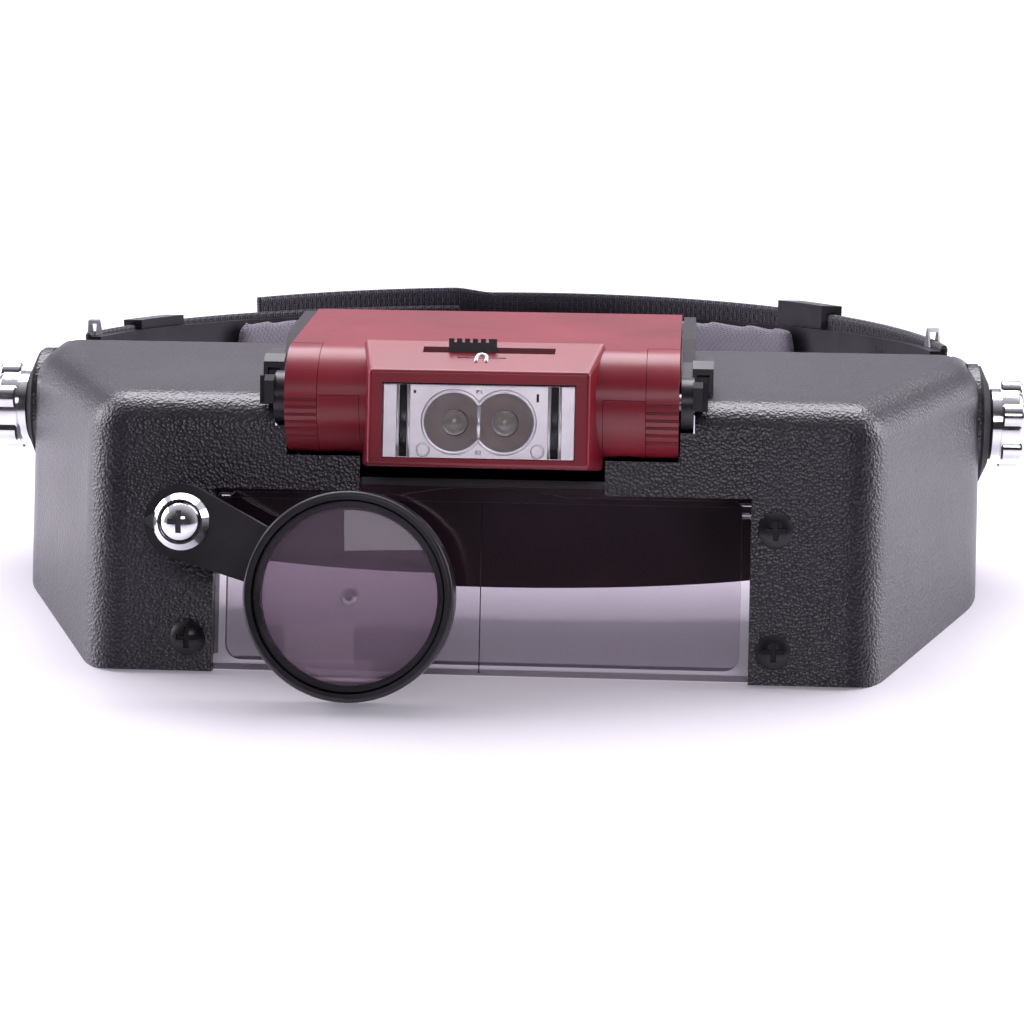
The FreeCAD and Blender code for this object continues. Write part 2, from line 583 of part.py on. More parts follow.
def make_lamp_casing():
    wall = size("lamp_wall")
    outside = fuse("lamp_outside", lamp_section("lamp_full", 0, "-lamp_half", "lamp_half"), lamp_head())
    inside = lamp_section("lamp_hollow", wall, "-lamp_half + 5", "lamp_half - 5")
    opening = block("lamp_opening", ("-bezel_half", "bezel_half"), ("head_front - 5", "-64.9"),
                    ("bezel_low", "bezel_high"))
    switch_room = block("lamp_switch_room", ("-14.6", "16.6"), ("-69.4", "-64.2"), ("3", "7.4"))
    slot = block("lamp_switch_slot", ("slot_low", "slot_high"), ("-66.7", "-64.3"), ("5", "14"))
    caps = [rod(f"lamp_cap_room_{hand}", "lamp_radius + 0.05", "x",
                *mirrored(sign, "cap_inner", "lamp_half + 1"), ("lamp_y", "lamp_z"))
            for hand, sign in (("right", 1), ("left", -1))]
    hollow = cut("lamp_hollowed", outside, inside, opening, switch_room, slot, *caps)
    below = block("lamp_below", ("-40", "40"), ("-80", "-20"), ("-20", "lamp_z"))
    head_zone = block("lamp_head_zone", ("-head_half_back", "head_half_back"), ("-80", "head_back"),
                      ("-20", "20"))
    tray_zone = cut("lamp_tray_zone", below, head_zone)
    tray = common("lamp_tray_shell", hollow, tray_zone)
    screws = [rod(f"lamp_tray_hole_{turn}", 1.25, "z", "-14", "1", place)
              for turn, place in enumerate(lamp_screw_places())]
    seats = [rod(f"lamp_tray_seat_{turn}", 2.5, "z", "-14", "lamp_z - lamp_radius + 1", place)
             for turn, place in enumerate(lamp_screw_places())]
    posts = [rod(f"lamp_tray_post_{turn}", 2.5, "z", "lamp_z - lamp_radius + 0.8", "lamp_z - 0.1", place)
             for turn, place in enumerate(lamp_screw_places())]
    node("lamp_lower_tray", cut("lamp_lower_tray", fuse("lamp_tray_full", tray, *posts), *screws, *seats),
         VISOR_FRAME)
    margin = block("lamp_below_margin", ("-40", "40"), ("-80", "-20"), ("-20", "lamp_z + 0.08"))
    cover_head = block("lamp_head_margin", ("-head_half_back + 0.08", "head_half_back - 0.08"),
                       ("-80", "head_back - 0.08"), ("-20", "20"))
    cover = cut("lamp_cover_shell", hollow, cut("lamp_tray_margin", margin, cover_head))
    bosses = []
    for turn, place in enumerate(lamp_screw_places()):
        boss = rod(f"lamp_boss_full_{turn}", 2.5, "z", "lamp_z + 0.1", "lamp_z + 9.6", place)
        bore = rod(f"lamp_boss_bore_{turn}", 1.05, "z", "0", "lamp_z + 8", place)
        bosses.append(cut(f"lamp_boss_{turn}", boss, bore))
    node("lamp_upper_cover", fuse("lamp_upper_cover", cover, *bosses), VISOR_FRAME)
    profile = [(0, 13), (1, 13), (1, 0.9), (2.2, 0.9), (2.2, 0.3), (1.6, 0), (0, 0)]
    foot = size("lamp_z") - size("lamp_radius") + 0.05
    heads = [turned(f"lamp_screw_{turn}", profile, (sign * 27.4, size("lamp_y"), foot), "z")
             for turn, sign in enumerate((1, -1))]
    node("lamp_screws", group("lamp_screws", *heads), VISOR_FRAME)


def make_battery_cap(hand, sign):
    """The tube's end cap, with grip ribs across its lower front and a bore for the lamp's pin."""
    radius, rib_pitch, rib_deep = size("lamp_radius"), 1.35, 0.45
    plug = rod(f"cap_plug_{hand}", "lamp_radius - lamp_wall - 0.05", "x",
               *mirrored(sign, "cap_inner - 0.8", "cap_inner + 0.2"), ("lamp_y", "lamp_z"))
    disc = rod(f"cap_disc_{hand}", "lamp_radius", "x", *mirrored(sign, "cap_inner + 0.1", "lamp_half"),
               ("lamp_y", "lamp_z"))
    tools = [rod(f"cap_bore_{hand}", "1.95 + running_gap", "x",
                 *mirrored(sign, "lamp_half - 3.2", "lamp_half + 1"), ("lamp_y", "lamp_z"))]
    for rib in range(6):
        below = 0.9 + rib * rib_pitch
        surface = size("lamp_y") - math.sqrt(radius ** 2 - below ** 2)
        tools.append(block(f"cap_groove_{hand}_{rib}", mirrored(sign, "cap_inner", "lamp_half + 1"),
                           (surface - 3, surface + rib_deep),
                           (f"lamp_z - {below} - 0.3", f"lamp_z - {below} + 0.3")))
    node(f"battery_cap_{hand}", cut(f"battery_cap_{hand}", fuse(f"cap_full_{hand}", plug, disc), *tools),
         VISOR_FRAME)


def make_lamp_optics():
    bowl_front, bowl_ball, mouth = -72.2, 6.2, 5.7
    block_form = block("reflector_block", ("-bezel_half + 0.2", "bezel_half - 0.2"), (bowl_front, "-67.6"),
                       ("bezel_low + 0.2", "bezel_high - 0.2"))
    ball_y = bowl_front - math.sqrt(bowl_ball ** 2 - mouth ** 2)
    tools, lights = [], []
    for hand, sign in (("right", 1), ("left", -1)):
        ball = doc.addObject("Part::Sphere", f"reflector_bowl_{hand}")
        ball.Radius = bowl_ball
        ball.Placement.Base = Vector(sign * size("led_half"), ball_y, size("led_z"))
        tools += [ball, rod(f"reflector_hole_{hand}", "led_radius + 0.1", "y", "-74", "-66",
                            (f"{sign} * led_half", "led_z"))]
        radius = size("led_radius")
        profile = [(0, 0), (radius, 0), (radius, 2.6), dome(radius, 2.6, radius)]
        lights.append(turned(f"led_{hand}", profile, (sign * size("led_half"), -67.35, size("led_z")), "-y"))
    node("lamp_reflector", cut("lamp_reflector", block_form, *tools), VISOR_FRAME)
    node("lamp_leds", group("lamp_leds", *lights), VISOR_FRAME)
    window = block("window_plate", ("-bezel_half + 0.1", "bezel_half - 0.1"), ("-73.6", "-72.4"),
                   ("bezel_low + 0.1", "bezel_high - 0.1"))
    node("lamp_window", group("lamp_window", window), VISOR_FRAME)
    board = block("board_plate", ("-15.5", "15.5"), ("-67.3", "-66.2"), ("-10", "2.4"))
    node("lamp_board", group("lamp_board", board), VISOR_FRAME)


def make_power():
    """Two cells side by side, the contact plates at their ends and the slide switch."""
    half = size("cell_length") / 2
    nub, nub_long = 2.6, 1.0
    cells = []
    for name, y, z, sign in (("front", "lamp_y", "lamp_z", 1), ("rear", "cell_y", "cell_z", -1)):
        can = rod(f"cell_can_{name}", "cell_radius", "x",
                  *mirrored(sign, f"{-half}", f"{half - nub_long}"), (y, z))
        tip = rod(f"cell_tip_{name}", nub, "x",
                  *mirrored(sign, f"{half - nub_long - 0.1}", f"{half}"), (y, z))
        cells.append(fuse(f"cell_{name}", can, tip))
    node("batteries", group("batteries", *cells), VISOR_FRAME)
    contacts = []
    for hand, sign in (("right", 1), ("left", -1)):
        plates = [rod(f"contact_{end}_{hand}", 3.6, "x",
                      *mirrored(sign, f"{half + 0.1}", f"{half + 0.5}"), (y, z))
                  for end, y, z in (("front", "lamp_y", "lamp_z"), ("rear", "cell_y", "cell_z"))]
        strip = block(f"contact_strip_{hand}", mirrored(sign, f"{half + 0.5}", f"{half + 0.9}"),
                      ("lamp_y - 2", "cell_y + 2"), ("2", "4"))
        contacts.append(fuse(f"contact_{hand}", *plates, strip))
    node("battery_contacts", group("battery_contacts", *contacts), VISOR_FRAME)
    case = block("switch_case", ("-14.2", "16.2"), ("-67.4", "-64.6"), ("3.3", "6.9"))
    track = block("switch_track", ("slot_low", "slot_high"), ("-66.4", "-65"), ("4.6", "8"))
    node("switch_body", cut("switch_body", case, track), VISOR_FRAME)
    stem = block("slider_stem", ("slider_low + 3", "slider_high - 3"), ("-66.2", "-65.2"), ("5", "10"))
    button = block("slider_button", ("slider_low", "slider_high"), ("-66.4", "-64.6"), ("9.2", "11.9"))
    grooves = [block(f"slider_groove_{turn}",
                     (f"slider_low + {0.9 + 1.5 * turn}", f"slider_low + {1.5 + 1.5 * turn}"),
                     ("-67", "-64"), ("11.2", "13")) for turn in range(5)]
    node("switch_slider", fuse("switch_slider", stem, cut("slider_ribbed", button, *grooves)), VISOR_FRAME)


make_lamp_bracket()
make_bracket_fasteners()
make_lamp_casing()
both_sides(make_battery_cap)
make_lamp_optics()
make_power()


# ---- loupe --------------------------------------------------------------------------------------

def make_loupe():
    """A stepped ring on a tapered arm; its lens sits between a rear lip and a retaining ring."""
    x, z, radius = size("loupe_x"), size("loupe_z"), size("loupe_radius")
    pivot_x, pivot_z, eye = size("loupe_pivot_x"), size("loupe_pivot_z"), size("loupe_pivot_round")
    back, front, thick = size("loupe_back"), size("loupe_front"), size("loupe_arm_thick")
    bore, lip, deep = radius - 1.6, radius - 3.1, back - front
    ring = turned("loupe_ring", [(lip, 0), (radius - 0.6, 0), (radius, 0.6), (radius, deep - 0.9),
                                 ((radius - 0.25, deep - 0.25), (radius - 0.9, deep)), (bore, deep),
                                 (bore, 0.9), (lip, 0.9)], (x, back, z), "-y")
    away = math.atan2(z - pivot_z, x - pivot_x)

    def beside(cx, cz, reach, side):
        """The point of a circle where the arm's straight side leaves it."""
        turn = away + side * math.radians(90)
        return cx + reach * math.cos(turn), cz + reach * math.sin(turn)

    neck = 5.4
    root_x, root_z = x - (radius - 1) * math.cos(away), z - (radius - 1) * math.sin(away)
    tip = (pivot_x - eye * math.cos(away), pivot_z - eye * math.sin(away))
    arm_outline = [beside(pivot_x, pivot_z, eye, -1), beside(root_x, root_z, neck, -1),
                   beside(root_x, root_z, neck, 1), beside(pivot_x, pivot_z, eye, 1),
                   (tip, beside(pivot_x, pivot_z, eye, -1))]
    arm = pad("loupe_arm", "XZ_Plane", arm_outline, f"loupe_back - {thick}", "loupe_back")
    room = rod("loupe_arm_room", bore, "y", "loupe_front - 1", "loupe_back + 1", ("loupe_x", "loupe_z"))
    bore_hole = rod("loupe_pivot_bore", "screw_radius + running_gap", "y",
                    "loupe_front - 1", "loupe_back + 1", ("loupe_pivot_x", "loupe_pivot_z"))
    node("loupe_frame", fuse("loupe_frame", ring, cut("loupe_arm_cut", arm, room, bore_hole)), VISOR_FRAME)

    rim, edge, bulge = bore - 0.1, 1.6, 1.5
    rear_middle, rear_top = dome(rim, 0, -bulge)
    lens = turned("loupe_lens", [rear_top, (rear_middle, (rim, 0)), (rim, edge), dome(rim, edge, bulge)],
                  (x, back - 1.8, z), "-y")
    node("loupe_lens", lens, VISOR_FRAME)
    keeper = turned("loupe_retaining_ring", [(lip, 0), (bore - 0.1, 0), (bore - 0.1, 2.1), (bore - 0.4, 2.4),
                                             (lip + 0.7, 2.4), (lip, 1.5)], (x, back - 3.75, z), "-y")
    node("loupe_retaining_ring", keeper, VISOR_FRAME)

    face, long = size("visor_front"), size("visor_front") - back - 0.4
    spacer = turned("loupe_spacer", [(1.6, 0), (5.2, 0), (5.2, 1), (4.6, 1.6), (4.6, long), (1.6, long)],
                    (pivot_x, face - 0.35, pivot_z), "-y")
    node("loupe_spacer", spacer, VISOR_FRAME)
    cup_face = back - thick - 0.05
    cup = turned("loupe_cup_round", [(1.6, 0), (4.9, 0), (5.3, 0.5), (4.2, 1.8), (3.9, 1.8), (3.5, 0.9),
                                     (1.6, 0.9)], (pivot_x, cup_face, pivot_z), "-y")
    point = [(pivot_x - 4.6, pivot_z - 1.9), (pivot_x - 7.4, pivot_z), (pivot_x - 4.6, pivot_z + 1.9)]
    tab = pad("loupe_cup_tab", "XZ_Plane", point, f"{cup_face} - 0.8", f"{cup_face}")
    node("loupe_cup_washer", fuse("loupe_cup_washer", cup, tab), VISOR_FRAME)
    seat = cup_face - 0.95
    reach = size("retainer_back") + 2.6 - seat
    screw = turned("loupe_screw_turned", [(0, -reach), (1.5, -reach), (1.5, 0), (3.4, 0), (3.4, 1),
                                          dome(3.4, 1, 1.5)], (pivot_x, seat, pivot_z), "-y")
    recess = cross_recess("loupe_screw_cross", 2.1, f"{seat} - 4", f"{seat} - 1.3", pivot_x, pivot_z)
    node("loupe_pivot_screw", cut("loupe_pivot_screw", screw, *recess), VISOR_FRAME)
    nut = hex_nut("loupe_nut_form", pivot_x, pivot_z, size("retainer_back") + 0.3)
    node("loupe_nut", group("loupe_nut", nut), VISOR_FRAME)


# ---- pivots and knobs ---------------------------------------------------------------------------

def make_pivot(hand, sign):
    """Bolt, spacer, rubber washer and clamp knob, from the inside of the band outwards."""
    side, towards = size("band_side"), "x" if sign > 0 else "-x"
    wall_in = size("visor_side") - size("visor_wall")
    shank = size("bolt_radius")
    inner = size("arm_side") - size("band_wall") - 0.2
    length = size("knob_outer") - inner - 1.8
    bolt = turned(f"pivot_bolt_{hand}", [(0, -1.9), (4.6, -1.9), ((6, -1.3), (6.4, 0)), (shank, 0),
                                         (shank, length), (0, length)], (sign * inner, 0, 0), towards)
    node(f"pivot_bolt_{hand}", bolt, BAND_FRAME)
    spacer = turned(f"band_spacer_{hand}", [(shank + 0.05, 0), (8, 0), (8, wall_in - side - 0.4),
                                            (shank + 0.05, wall_in - side - 0.4)],
                    (sign * (side + 0.05), 0, 0), towards)
    node(f"band_spacer_{hand}", spacer, BAND_FRAME)
    broad = size("washer_radius")
    washer = turned(f"friction_washer_{hand}",
                    [(shank + 0.1, 0), (broad, 0), (broad, 0.6), (broad - 3.4, 2.2), (shank + 0.1, 2.2)],
                    (sign * (size("visor_side") + 0.03), 0, 0), towards)
    node(f"friction_washer_{hand}", washer, VISOR_FRAME)
    start = size("visor_side") + 2.55
    collar_long, outer = 2.2, size("knob_outer") - start
    collar, lobed = size("collar_radius"), size("knob_radius")
    core = lobed - 1.1
    core_profile = [(0, 0), (collar - 0.4, 0), (collar, 0.4), (collar, collar_long), (core, collar_long),
                    (core, outer - 1.3), ((core - 0.5, outer - 0.5), (core - 1.6, outer)), (4.4, outer),
                    (3.6, outer - 0.7), (0, outer - 0.7)]
    turned_part = turned(f"knob_core_{hand}", core_profile, (sign * start, 0, 0), towards)
    lobe_profile = [(0, collar_long + 0.01), (2.2, collar_long + 0.01), (2.6, collar_long + 0.4),
                    (2.6, outer - 0.9), ((2.4, outer - 0.4), (1.7, outer - 0.05)), (0, outer - 0.05)]
    lobes = []
    for turn in range(6):
        angle = math.radians(60 * turn + 30)
        reach = lobed - 2.6
        lobes.append(turned(f"knob_lobe_{hand}_{turn}", lobe_profile,
                            (sign * start, reach * math.cos(angle), reach * math.sin(angle)), towards))
    bore = rod(f"knob_bore_{hand}", "bolt_radius + running_gap", "x",
               *mirrored(sign, f"{start - 1}", "knob_outer - 1.6"), ("0", "0"))
    full = fuse(f"knob_full_{hand}", turned_part, *lobes)
    node(f"knob_{hand}", cut(f"knob_{hand}", full, bore), BAND_FRAME)


# ---- headband -----------------------------------------------------------------------------------

def ellipse(half_across, reach, ahead):
    """An ellipse as wide as the head, whose middle is ahead of the pivot."""
    middle = Vector(0, -ahead, 0)
    across, along = middle + Vector(half_across, 0, 0), middle + Vector(0, reach, 0)
    long_end, short_end = (along, across) if reach > half_across else (across, along)
    return Part.Ellipse(long_end, short_end, middle)


def hoop(name, half_across, reach, thick, side_view, ahead=0):
    """A strip bent to an ellipse, cut to a view from the side."""
    body, sketch = sketched(name + "_hoop", "XY_Plane", "-60")
    sketch.addGeometry(ellipse(half_across, reach, ahead))
    sketch.addGeometry(ellipse(half_across - thick, reach - thick, ahead))
    solid = body.newObject("PartDesign::Pad", name + "_height")
    solid.Profile = sketch
    solid.Length = 120
    view = pad(name + "_side_view", "YZ_Plane", side_view, "-120", "120")
    return common(name + "_strip", body, view)


def band_lines(start, end, top, tall, fall=size("strap_fall")):
    """A strip's side view between two places, falling to the rear."""
    return [(start, top - fall * start), (end, top - fall * end),
            (end, top - tall - fall * end), (start, top - tall - fall * start)]


def make_forehead_band():
    """A curved front band that runs straight past the pivots, with a round ear at each end, and its pad."""
    side, wall, front, ahead = size("band_side"), size("band_wall"), size("band_front"), size("ear_front")
    side_view = [(-front - 1, -26), (-30, -23.9), ((-19, -18.4), (-11.5, -9.6)), (-ahead, -8.6),
                 (-ahead, 7.6), (-11.5, 7), ((-18, 2.7), (-24, -0.6)), (-front - 1, -3.8)]
    pieces = [hoop("forehead", side, front - ahead, wall, side_view, ahead)]
    for hand, sign in (("right", 1), ("left", -1)):
        across = mirrored(sign, "band_side - band_wall", "band_side")
        pieces += [rod(f"forehead_ear_{hand}", "ear_radius", "x", *across, ("0", "0")),
                   block(f"forehead_neck_{hand}", across, ("-ear_front - 0.3", "0"), ("-8.6", "7.6"))]
    bore = rod("forehead_bore", "bolt_radius + 0.05", "x", "-110", "110", ("0", "0"))
    node("forehead_band", cut("forehead_band", fuse("forehead_full", *pieces), bore), BAND_FRAME)
    pad_view = [(-front, -24.6), (-18, -19), (-18, -0.6), (-front, -5)]
    inset = wall + 0.3
    cushion = hoop("forehead_pad", side - inset, front - ahead - inset, 6.2, pad_view, ahead)
    node("forehead_pad", group("forehead_pad", cushion), BAND_FRAME)


def arm_lines(spare):
    """A rear arm's side view behind its neck, larger by spare above and below."""
    top, low, end = size("arm_top") + spare, size("arm_low") - spare, size("rear_reach") + 1
    return [(0, top), (end, top - size("arm_fall") * end), (end, low - size("strap_fall") * end), (0, low)]


RIVET_AT = 24
RIVET_HEIGHT = size("strap_top") - 12 - size("strap_fall") * RIVET_AT


def rivet_bore(name):
    """The holes for the two rivets that hold strap and arm together."""
    return rod(name, 1.2, "x", "-110", "110", (RIVET_AT, RIVET_HEIGHT))


def make_rear_arm(hand, sign):
    """A plastic side arm from the pivot round to the rear; its neck leaves room for the raised visor."""
    side, reach, wall = size("arm_side"), size("rear_reach"), size("band_wall")
    strip = hoop(f"rear_arm_{hand}", side, reach, wall, arm_lines(0))
    rise = 16.2
    over_neck = [(-1, 7.4), (8, 6.2), (11, 4.6), (13.6, 4.8), ((15, 6), (15.6, 8.2)),
                 (rise, size("arm_top") - size("arm_fall") * rise), (rise, 20), (-1, 20)]
    neck_room = pad(f"rear_arm_neck_{hand}", "YZ_Plane", over_neck, "-120", "120")
    half = block(f"rear_arm_half_{hand}", mirrored(sign, "36", "arm_side + 5"), ("-5", "rear_reach + 5"),
                 ("-60", "40"))
    ear = rod(f"rear_arm_ear_{hand}", "ear_radius - 0.4", "x",
              *mirrored(sign, "arm_side - band_wall", "arm_side"), ("0", "0"))
    bore = rod(f"rear_arm_bore_{hand}", "bolt_radius + 0.05", "x", "-110", "110", ("0", "0"))
    necked = cut(f"rear_arm_strip_{hand}", common(f"rear_arm_side_{hand}", strip, half), neck_room)
    whole = fuse(f"rear_arm_full_{hand}", necked, ear)
    node(f"rear_arm_{hand}", cut(f"rear_arm_{hand}", whole, bore, rivet_bore(f"rear_arm_rivet_{hand}")),
         BAND_FRAME)


def make_rear_soft_pieces():
    """The pad inside the rear, the short strap on the left arm and the long strap that laps over it."""
    side, reach, wall = size("arm_side"), size("rear_reach"), size("band_wall")
    gap, thick, top = size("strap_gap"), size("strap_thick"), size("strap_top")
    cushion = hoop("rear_pad", side - wall - 0.2, reach - wall - 0.2, 5,
                   band_lines(60, reach + 1, top - 0.4, 20.5, 0.183))
    middle = block("rear_pad_middle", ("-73", "66"), ("60", "160"), ("-60", "40"))
    node("rear_pad", common("rear_pad", cushion, middle), BAND_FRAME)

    tall, start, short = size("strap_height"), 17, size("short_thick")
    run = hoop("strap_run", side + gap + thick, reach + gap + thick, thick,
               band_lines(start, reach + 8, top, tall))
    run_side = block("strap_run_side", ("lap_start - 1", "120"), ("0", "160"), ("-60", "40"))
    outer = gap + thick + size("lap_step")
    lap = hoop("strap_lap", side + outer, reach + outer, thick, band_lines(60, reach + 8, top + 1, tall))
    lap_side = block("strap_lap_side", ("lap_end", "lap_start"), ("60", "160"), ("-60", "40"))
    long_strap = fuse("long_strap", common("strap_run_part", run, run_side),
                      common("strap_lap_part", lap, lap_side))
    node("rear_strap", cut("rear_strap", long_strap, rivet_bore("long_strap_rivet")), BAND_FRAME)
    inner = hoop("short_strap", side + gap + short, reach + gap + short, short,
                 band_lines(start, reach + 8, top, size("short_height"), size("short_fall")))
    inner_side = block("short_strap_side", ("-120", "lap_start - 2"), ("0", "160"), ("-60", "40"))
    short_part = common("short_strap_part", inner, inner_side)
    node("short_strap", cut("short_strap", short_part, rivet_bore("short_strap_rivet")), BAND_FRAME)


def make_strap_keeper(hand, sign):
    """A clip round the strap, whose short inner legs rest on the arm's two edges."""
    side, reach, wall = size("arm_side"), size("rear_reach"), size("band_wall")
    top, clear, around = size("strap_top"), 0.15, 1.2
    if sign > 0:
        start, end, rise, thick = 88, 103, 2.1, size("strap_thick")
        tall, fall = size("strap_height"), size("strap_fall")
    else:
        start, end, rise, thick = 44, 64, 1.2, size("short_thick")
        tall, fall = size("short_height"), size("short_fall")
    room = size("strap_gap") + thick + clear
    outer = hoop(f"keeper_outer_{hand}", side + room + around, reach + room + around,
                 thick + 2 * clear + 2 * around, band_lines(start, end, top + rise, tall + rise + 1.1, fall))
    inner = hoop(f"keeper_inner_{hand}", side + room, reach + room, thick + 2 * clear,
                 band_lines(start - 1, end + 1, top + 0.3, tall + 0.6, fall))
    arm_room = hoop(f"keeper_arm_{hand}", side + 0.06, reach + 0.06, wall + 0.4, arm_lines(0.1))
    half = block(f"keeper_half_{hand}", mirrored(sign, "20", "110"), ("0", "160"), ("-60", "40"))
    loop = cut(f"keeper_loop_{hand}", outer, inner, arm_room)
    node(f"strap_keeper_{hand}", common(f"strap_keeper_{hand}", loop, half), BAND_FRAME)


def make_strap_clip(hand, sign):
    """A small bent metal clip that stands over the strap's top edge near its front end."""
    start, thick, fall = (27, size("strap_thick"), size("strap_fall")) if sign > 0 else (
        19, size("short_thick"), size("short_fall"))
    stand, leg, metal, clear, broad = 2.2, 2.6, 0.4, 0.06, 5
    side, reach = size("arm_side") + size("strap_gap"), size("rear_reach") + size("strap_gap")
    crest = size("strap_top") - fall * start + stand
    side_view = [(start, crest - stand - leg), (start + broad, crest - stand - leg - fall * broad),
                 (start + broad * 0.62, crest), (start + broad * 0.38, crest)]
    room = thick + clear
    outer = hoop(f"clip_outer_{hand}", side + room + metal, reach + room + metal,
                 thick + 2 * (clear + metal), side_view)
    inner = hoop(f"clip_inner_{hand}", side + room, reach + room, thick + 2 * clear,
                 band_lines(start - 1, start + broad + 1, size("strap_top") + stand - metal, 20, fall))
    arm_room = hoop(f"clip_arm_{hand}", size("arm_side") + 0.06, size("rear_reach") + 0.06, 3, arm_lines(0.1))
    half = block(f"clip_half_{hand}", mirrored(sign, "20", "110"), ("0", "160"), ("-60", "40"))
    return common(f"clip_{hand}", cut(f"clip_bent_{hand}", outer, inner, arm_room), half)


def make_strap_fasteners():
    """On each side, a rivet through strap and arm, and the clip over the strap's edge."""
    node("strap_clips", group("strap_clips", *[make_strap_clip(hand, sign)
                                               for hand, sign in (("right", 1), ("left", -1))]), BAND_FRAME)
    share = math.sqrt(1 - (RIVET_AT / size("rear_reach")) ** 2)
    rivets = []
    for hand, sign, thick in (("right", 1, "strap_thick"), ("left", -1, "short_thick")):
        through = size("strap_gap") + size(thick) + 0.35
        profile = [(0, -through - 1.5), (1.1, -through - 1.5), (1.1, 0), (2.6, 0), dome(2.6, 0, 1.2)]
        rivets.append(turned(f"strap_rivet_{hand}", profile,
                             (sign * (size("arm_side") * share + through), RIVET_AT, RIVET_HEIGHT),
                             "x" if sign > 0 else "-x"))
    node("strap_rivets", group("strap_rivets", *rivets), BAND_FRAME)


make_loupe()
both_sides(make_pivot)
make_forehead_band()
both_sides(make_rear_arm)
make_rear_soft_pieces()
both_sides(make_strap_keeper)
make_strap_fasteners()


# ---- checks and export --------------------------------------------------------------------------

doc.recompute()
for item in doc.Objects:
    broken = {"Invalid", "Error"} & set(item.State)
    if broken:
        raise RuntimeError(f"{item.Label} is {sorted(broken)}")
os.makedirs("parts", exist_ok=True)
whole = FreeCAD.BoundBox()
for part in nodes:
    if part.Shape.isNull() or not part.Shape.isValid() or not part.Shape.Solids:
        raise RuntimeError(f"{part.Label} has no valid solid")
    part.Shape.exportStep(f"parts/{part.Label}.step")
    whole.add(part.Shape.BoundBox)
    print(part.Label, len(part.Shape.Solids), round(part.Shape.Volume))
print(len(nodes), "nodes", whole)
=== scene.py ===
"""Looks for the head visor magnifier: materials for every part, soft band pieces, light and camera."""
import json
import math

import bmesh
import bpy
import numpy as np
from mathutils import Matrix, Vector


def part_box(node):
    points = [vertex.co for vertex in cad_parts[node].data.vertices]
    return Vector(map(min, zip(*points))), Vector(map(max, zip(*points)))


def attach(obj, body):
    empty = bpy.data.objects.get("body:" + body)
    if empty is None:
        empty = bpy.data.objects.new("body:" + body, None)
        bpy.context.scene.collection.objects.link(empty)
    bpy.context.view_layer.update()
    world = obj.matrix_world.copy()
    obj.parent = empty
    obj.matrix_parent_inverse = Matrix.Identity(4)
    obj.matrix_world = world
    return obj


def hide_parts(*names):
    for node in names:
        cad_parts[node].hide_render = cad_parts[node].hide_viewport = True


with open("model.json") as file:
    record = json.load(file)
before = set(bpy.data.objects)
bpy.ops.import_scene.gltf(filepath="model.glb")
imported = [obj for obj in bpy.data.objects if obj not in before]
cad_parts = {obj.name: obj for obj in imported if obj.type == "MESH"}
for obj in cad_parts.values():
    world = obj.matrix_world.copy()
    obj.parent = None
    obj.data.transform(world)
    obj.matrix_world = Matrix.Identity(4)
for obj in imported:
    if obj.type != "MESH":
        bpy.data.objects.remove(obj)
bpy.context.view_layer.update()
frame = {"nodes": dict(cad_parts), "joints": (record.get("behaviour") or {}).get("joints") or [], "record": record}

MM = 0.001
JOINTS = {joint["name"]: joint for joint in frame["joints"]}
NODES = frame["nodes"]
SLOT_OF = {part["node"]: part["material_slot"] for part in frame["record"]["subparts"]}
PIVOT = Vector(JOINTS["visor_tilt"]["pos_m"])
LENS_NORMAL = Vector(JOINTS["loupe_swing"]["axis"])
LEAN = math.atan2(LENS_NORMAL.z, -LENS_NORMAL.y)
VISOR = Matrix.Translation(PIVOT) @ Matrix.Rotation(-LEAN, 4, "X")


# ---- materials: one small toolkit, then one function for each material -------------------------

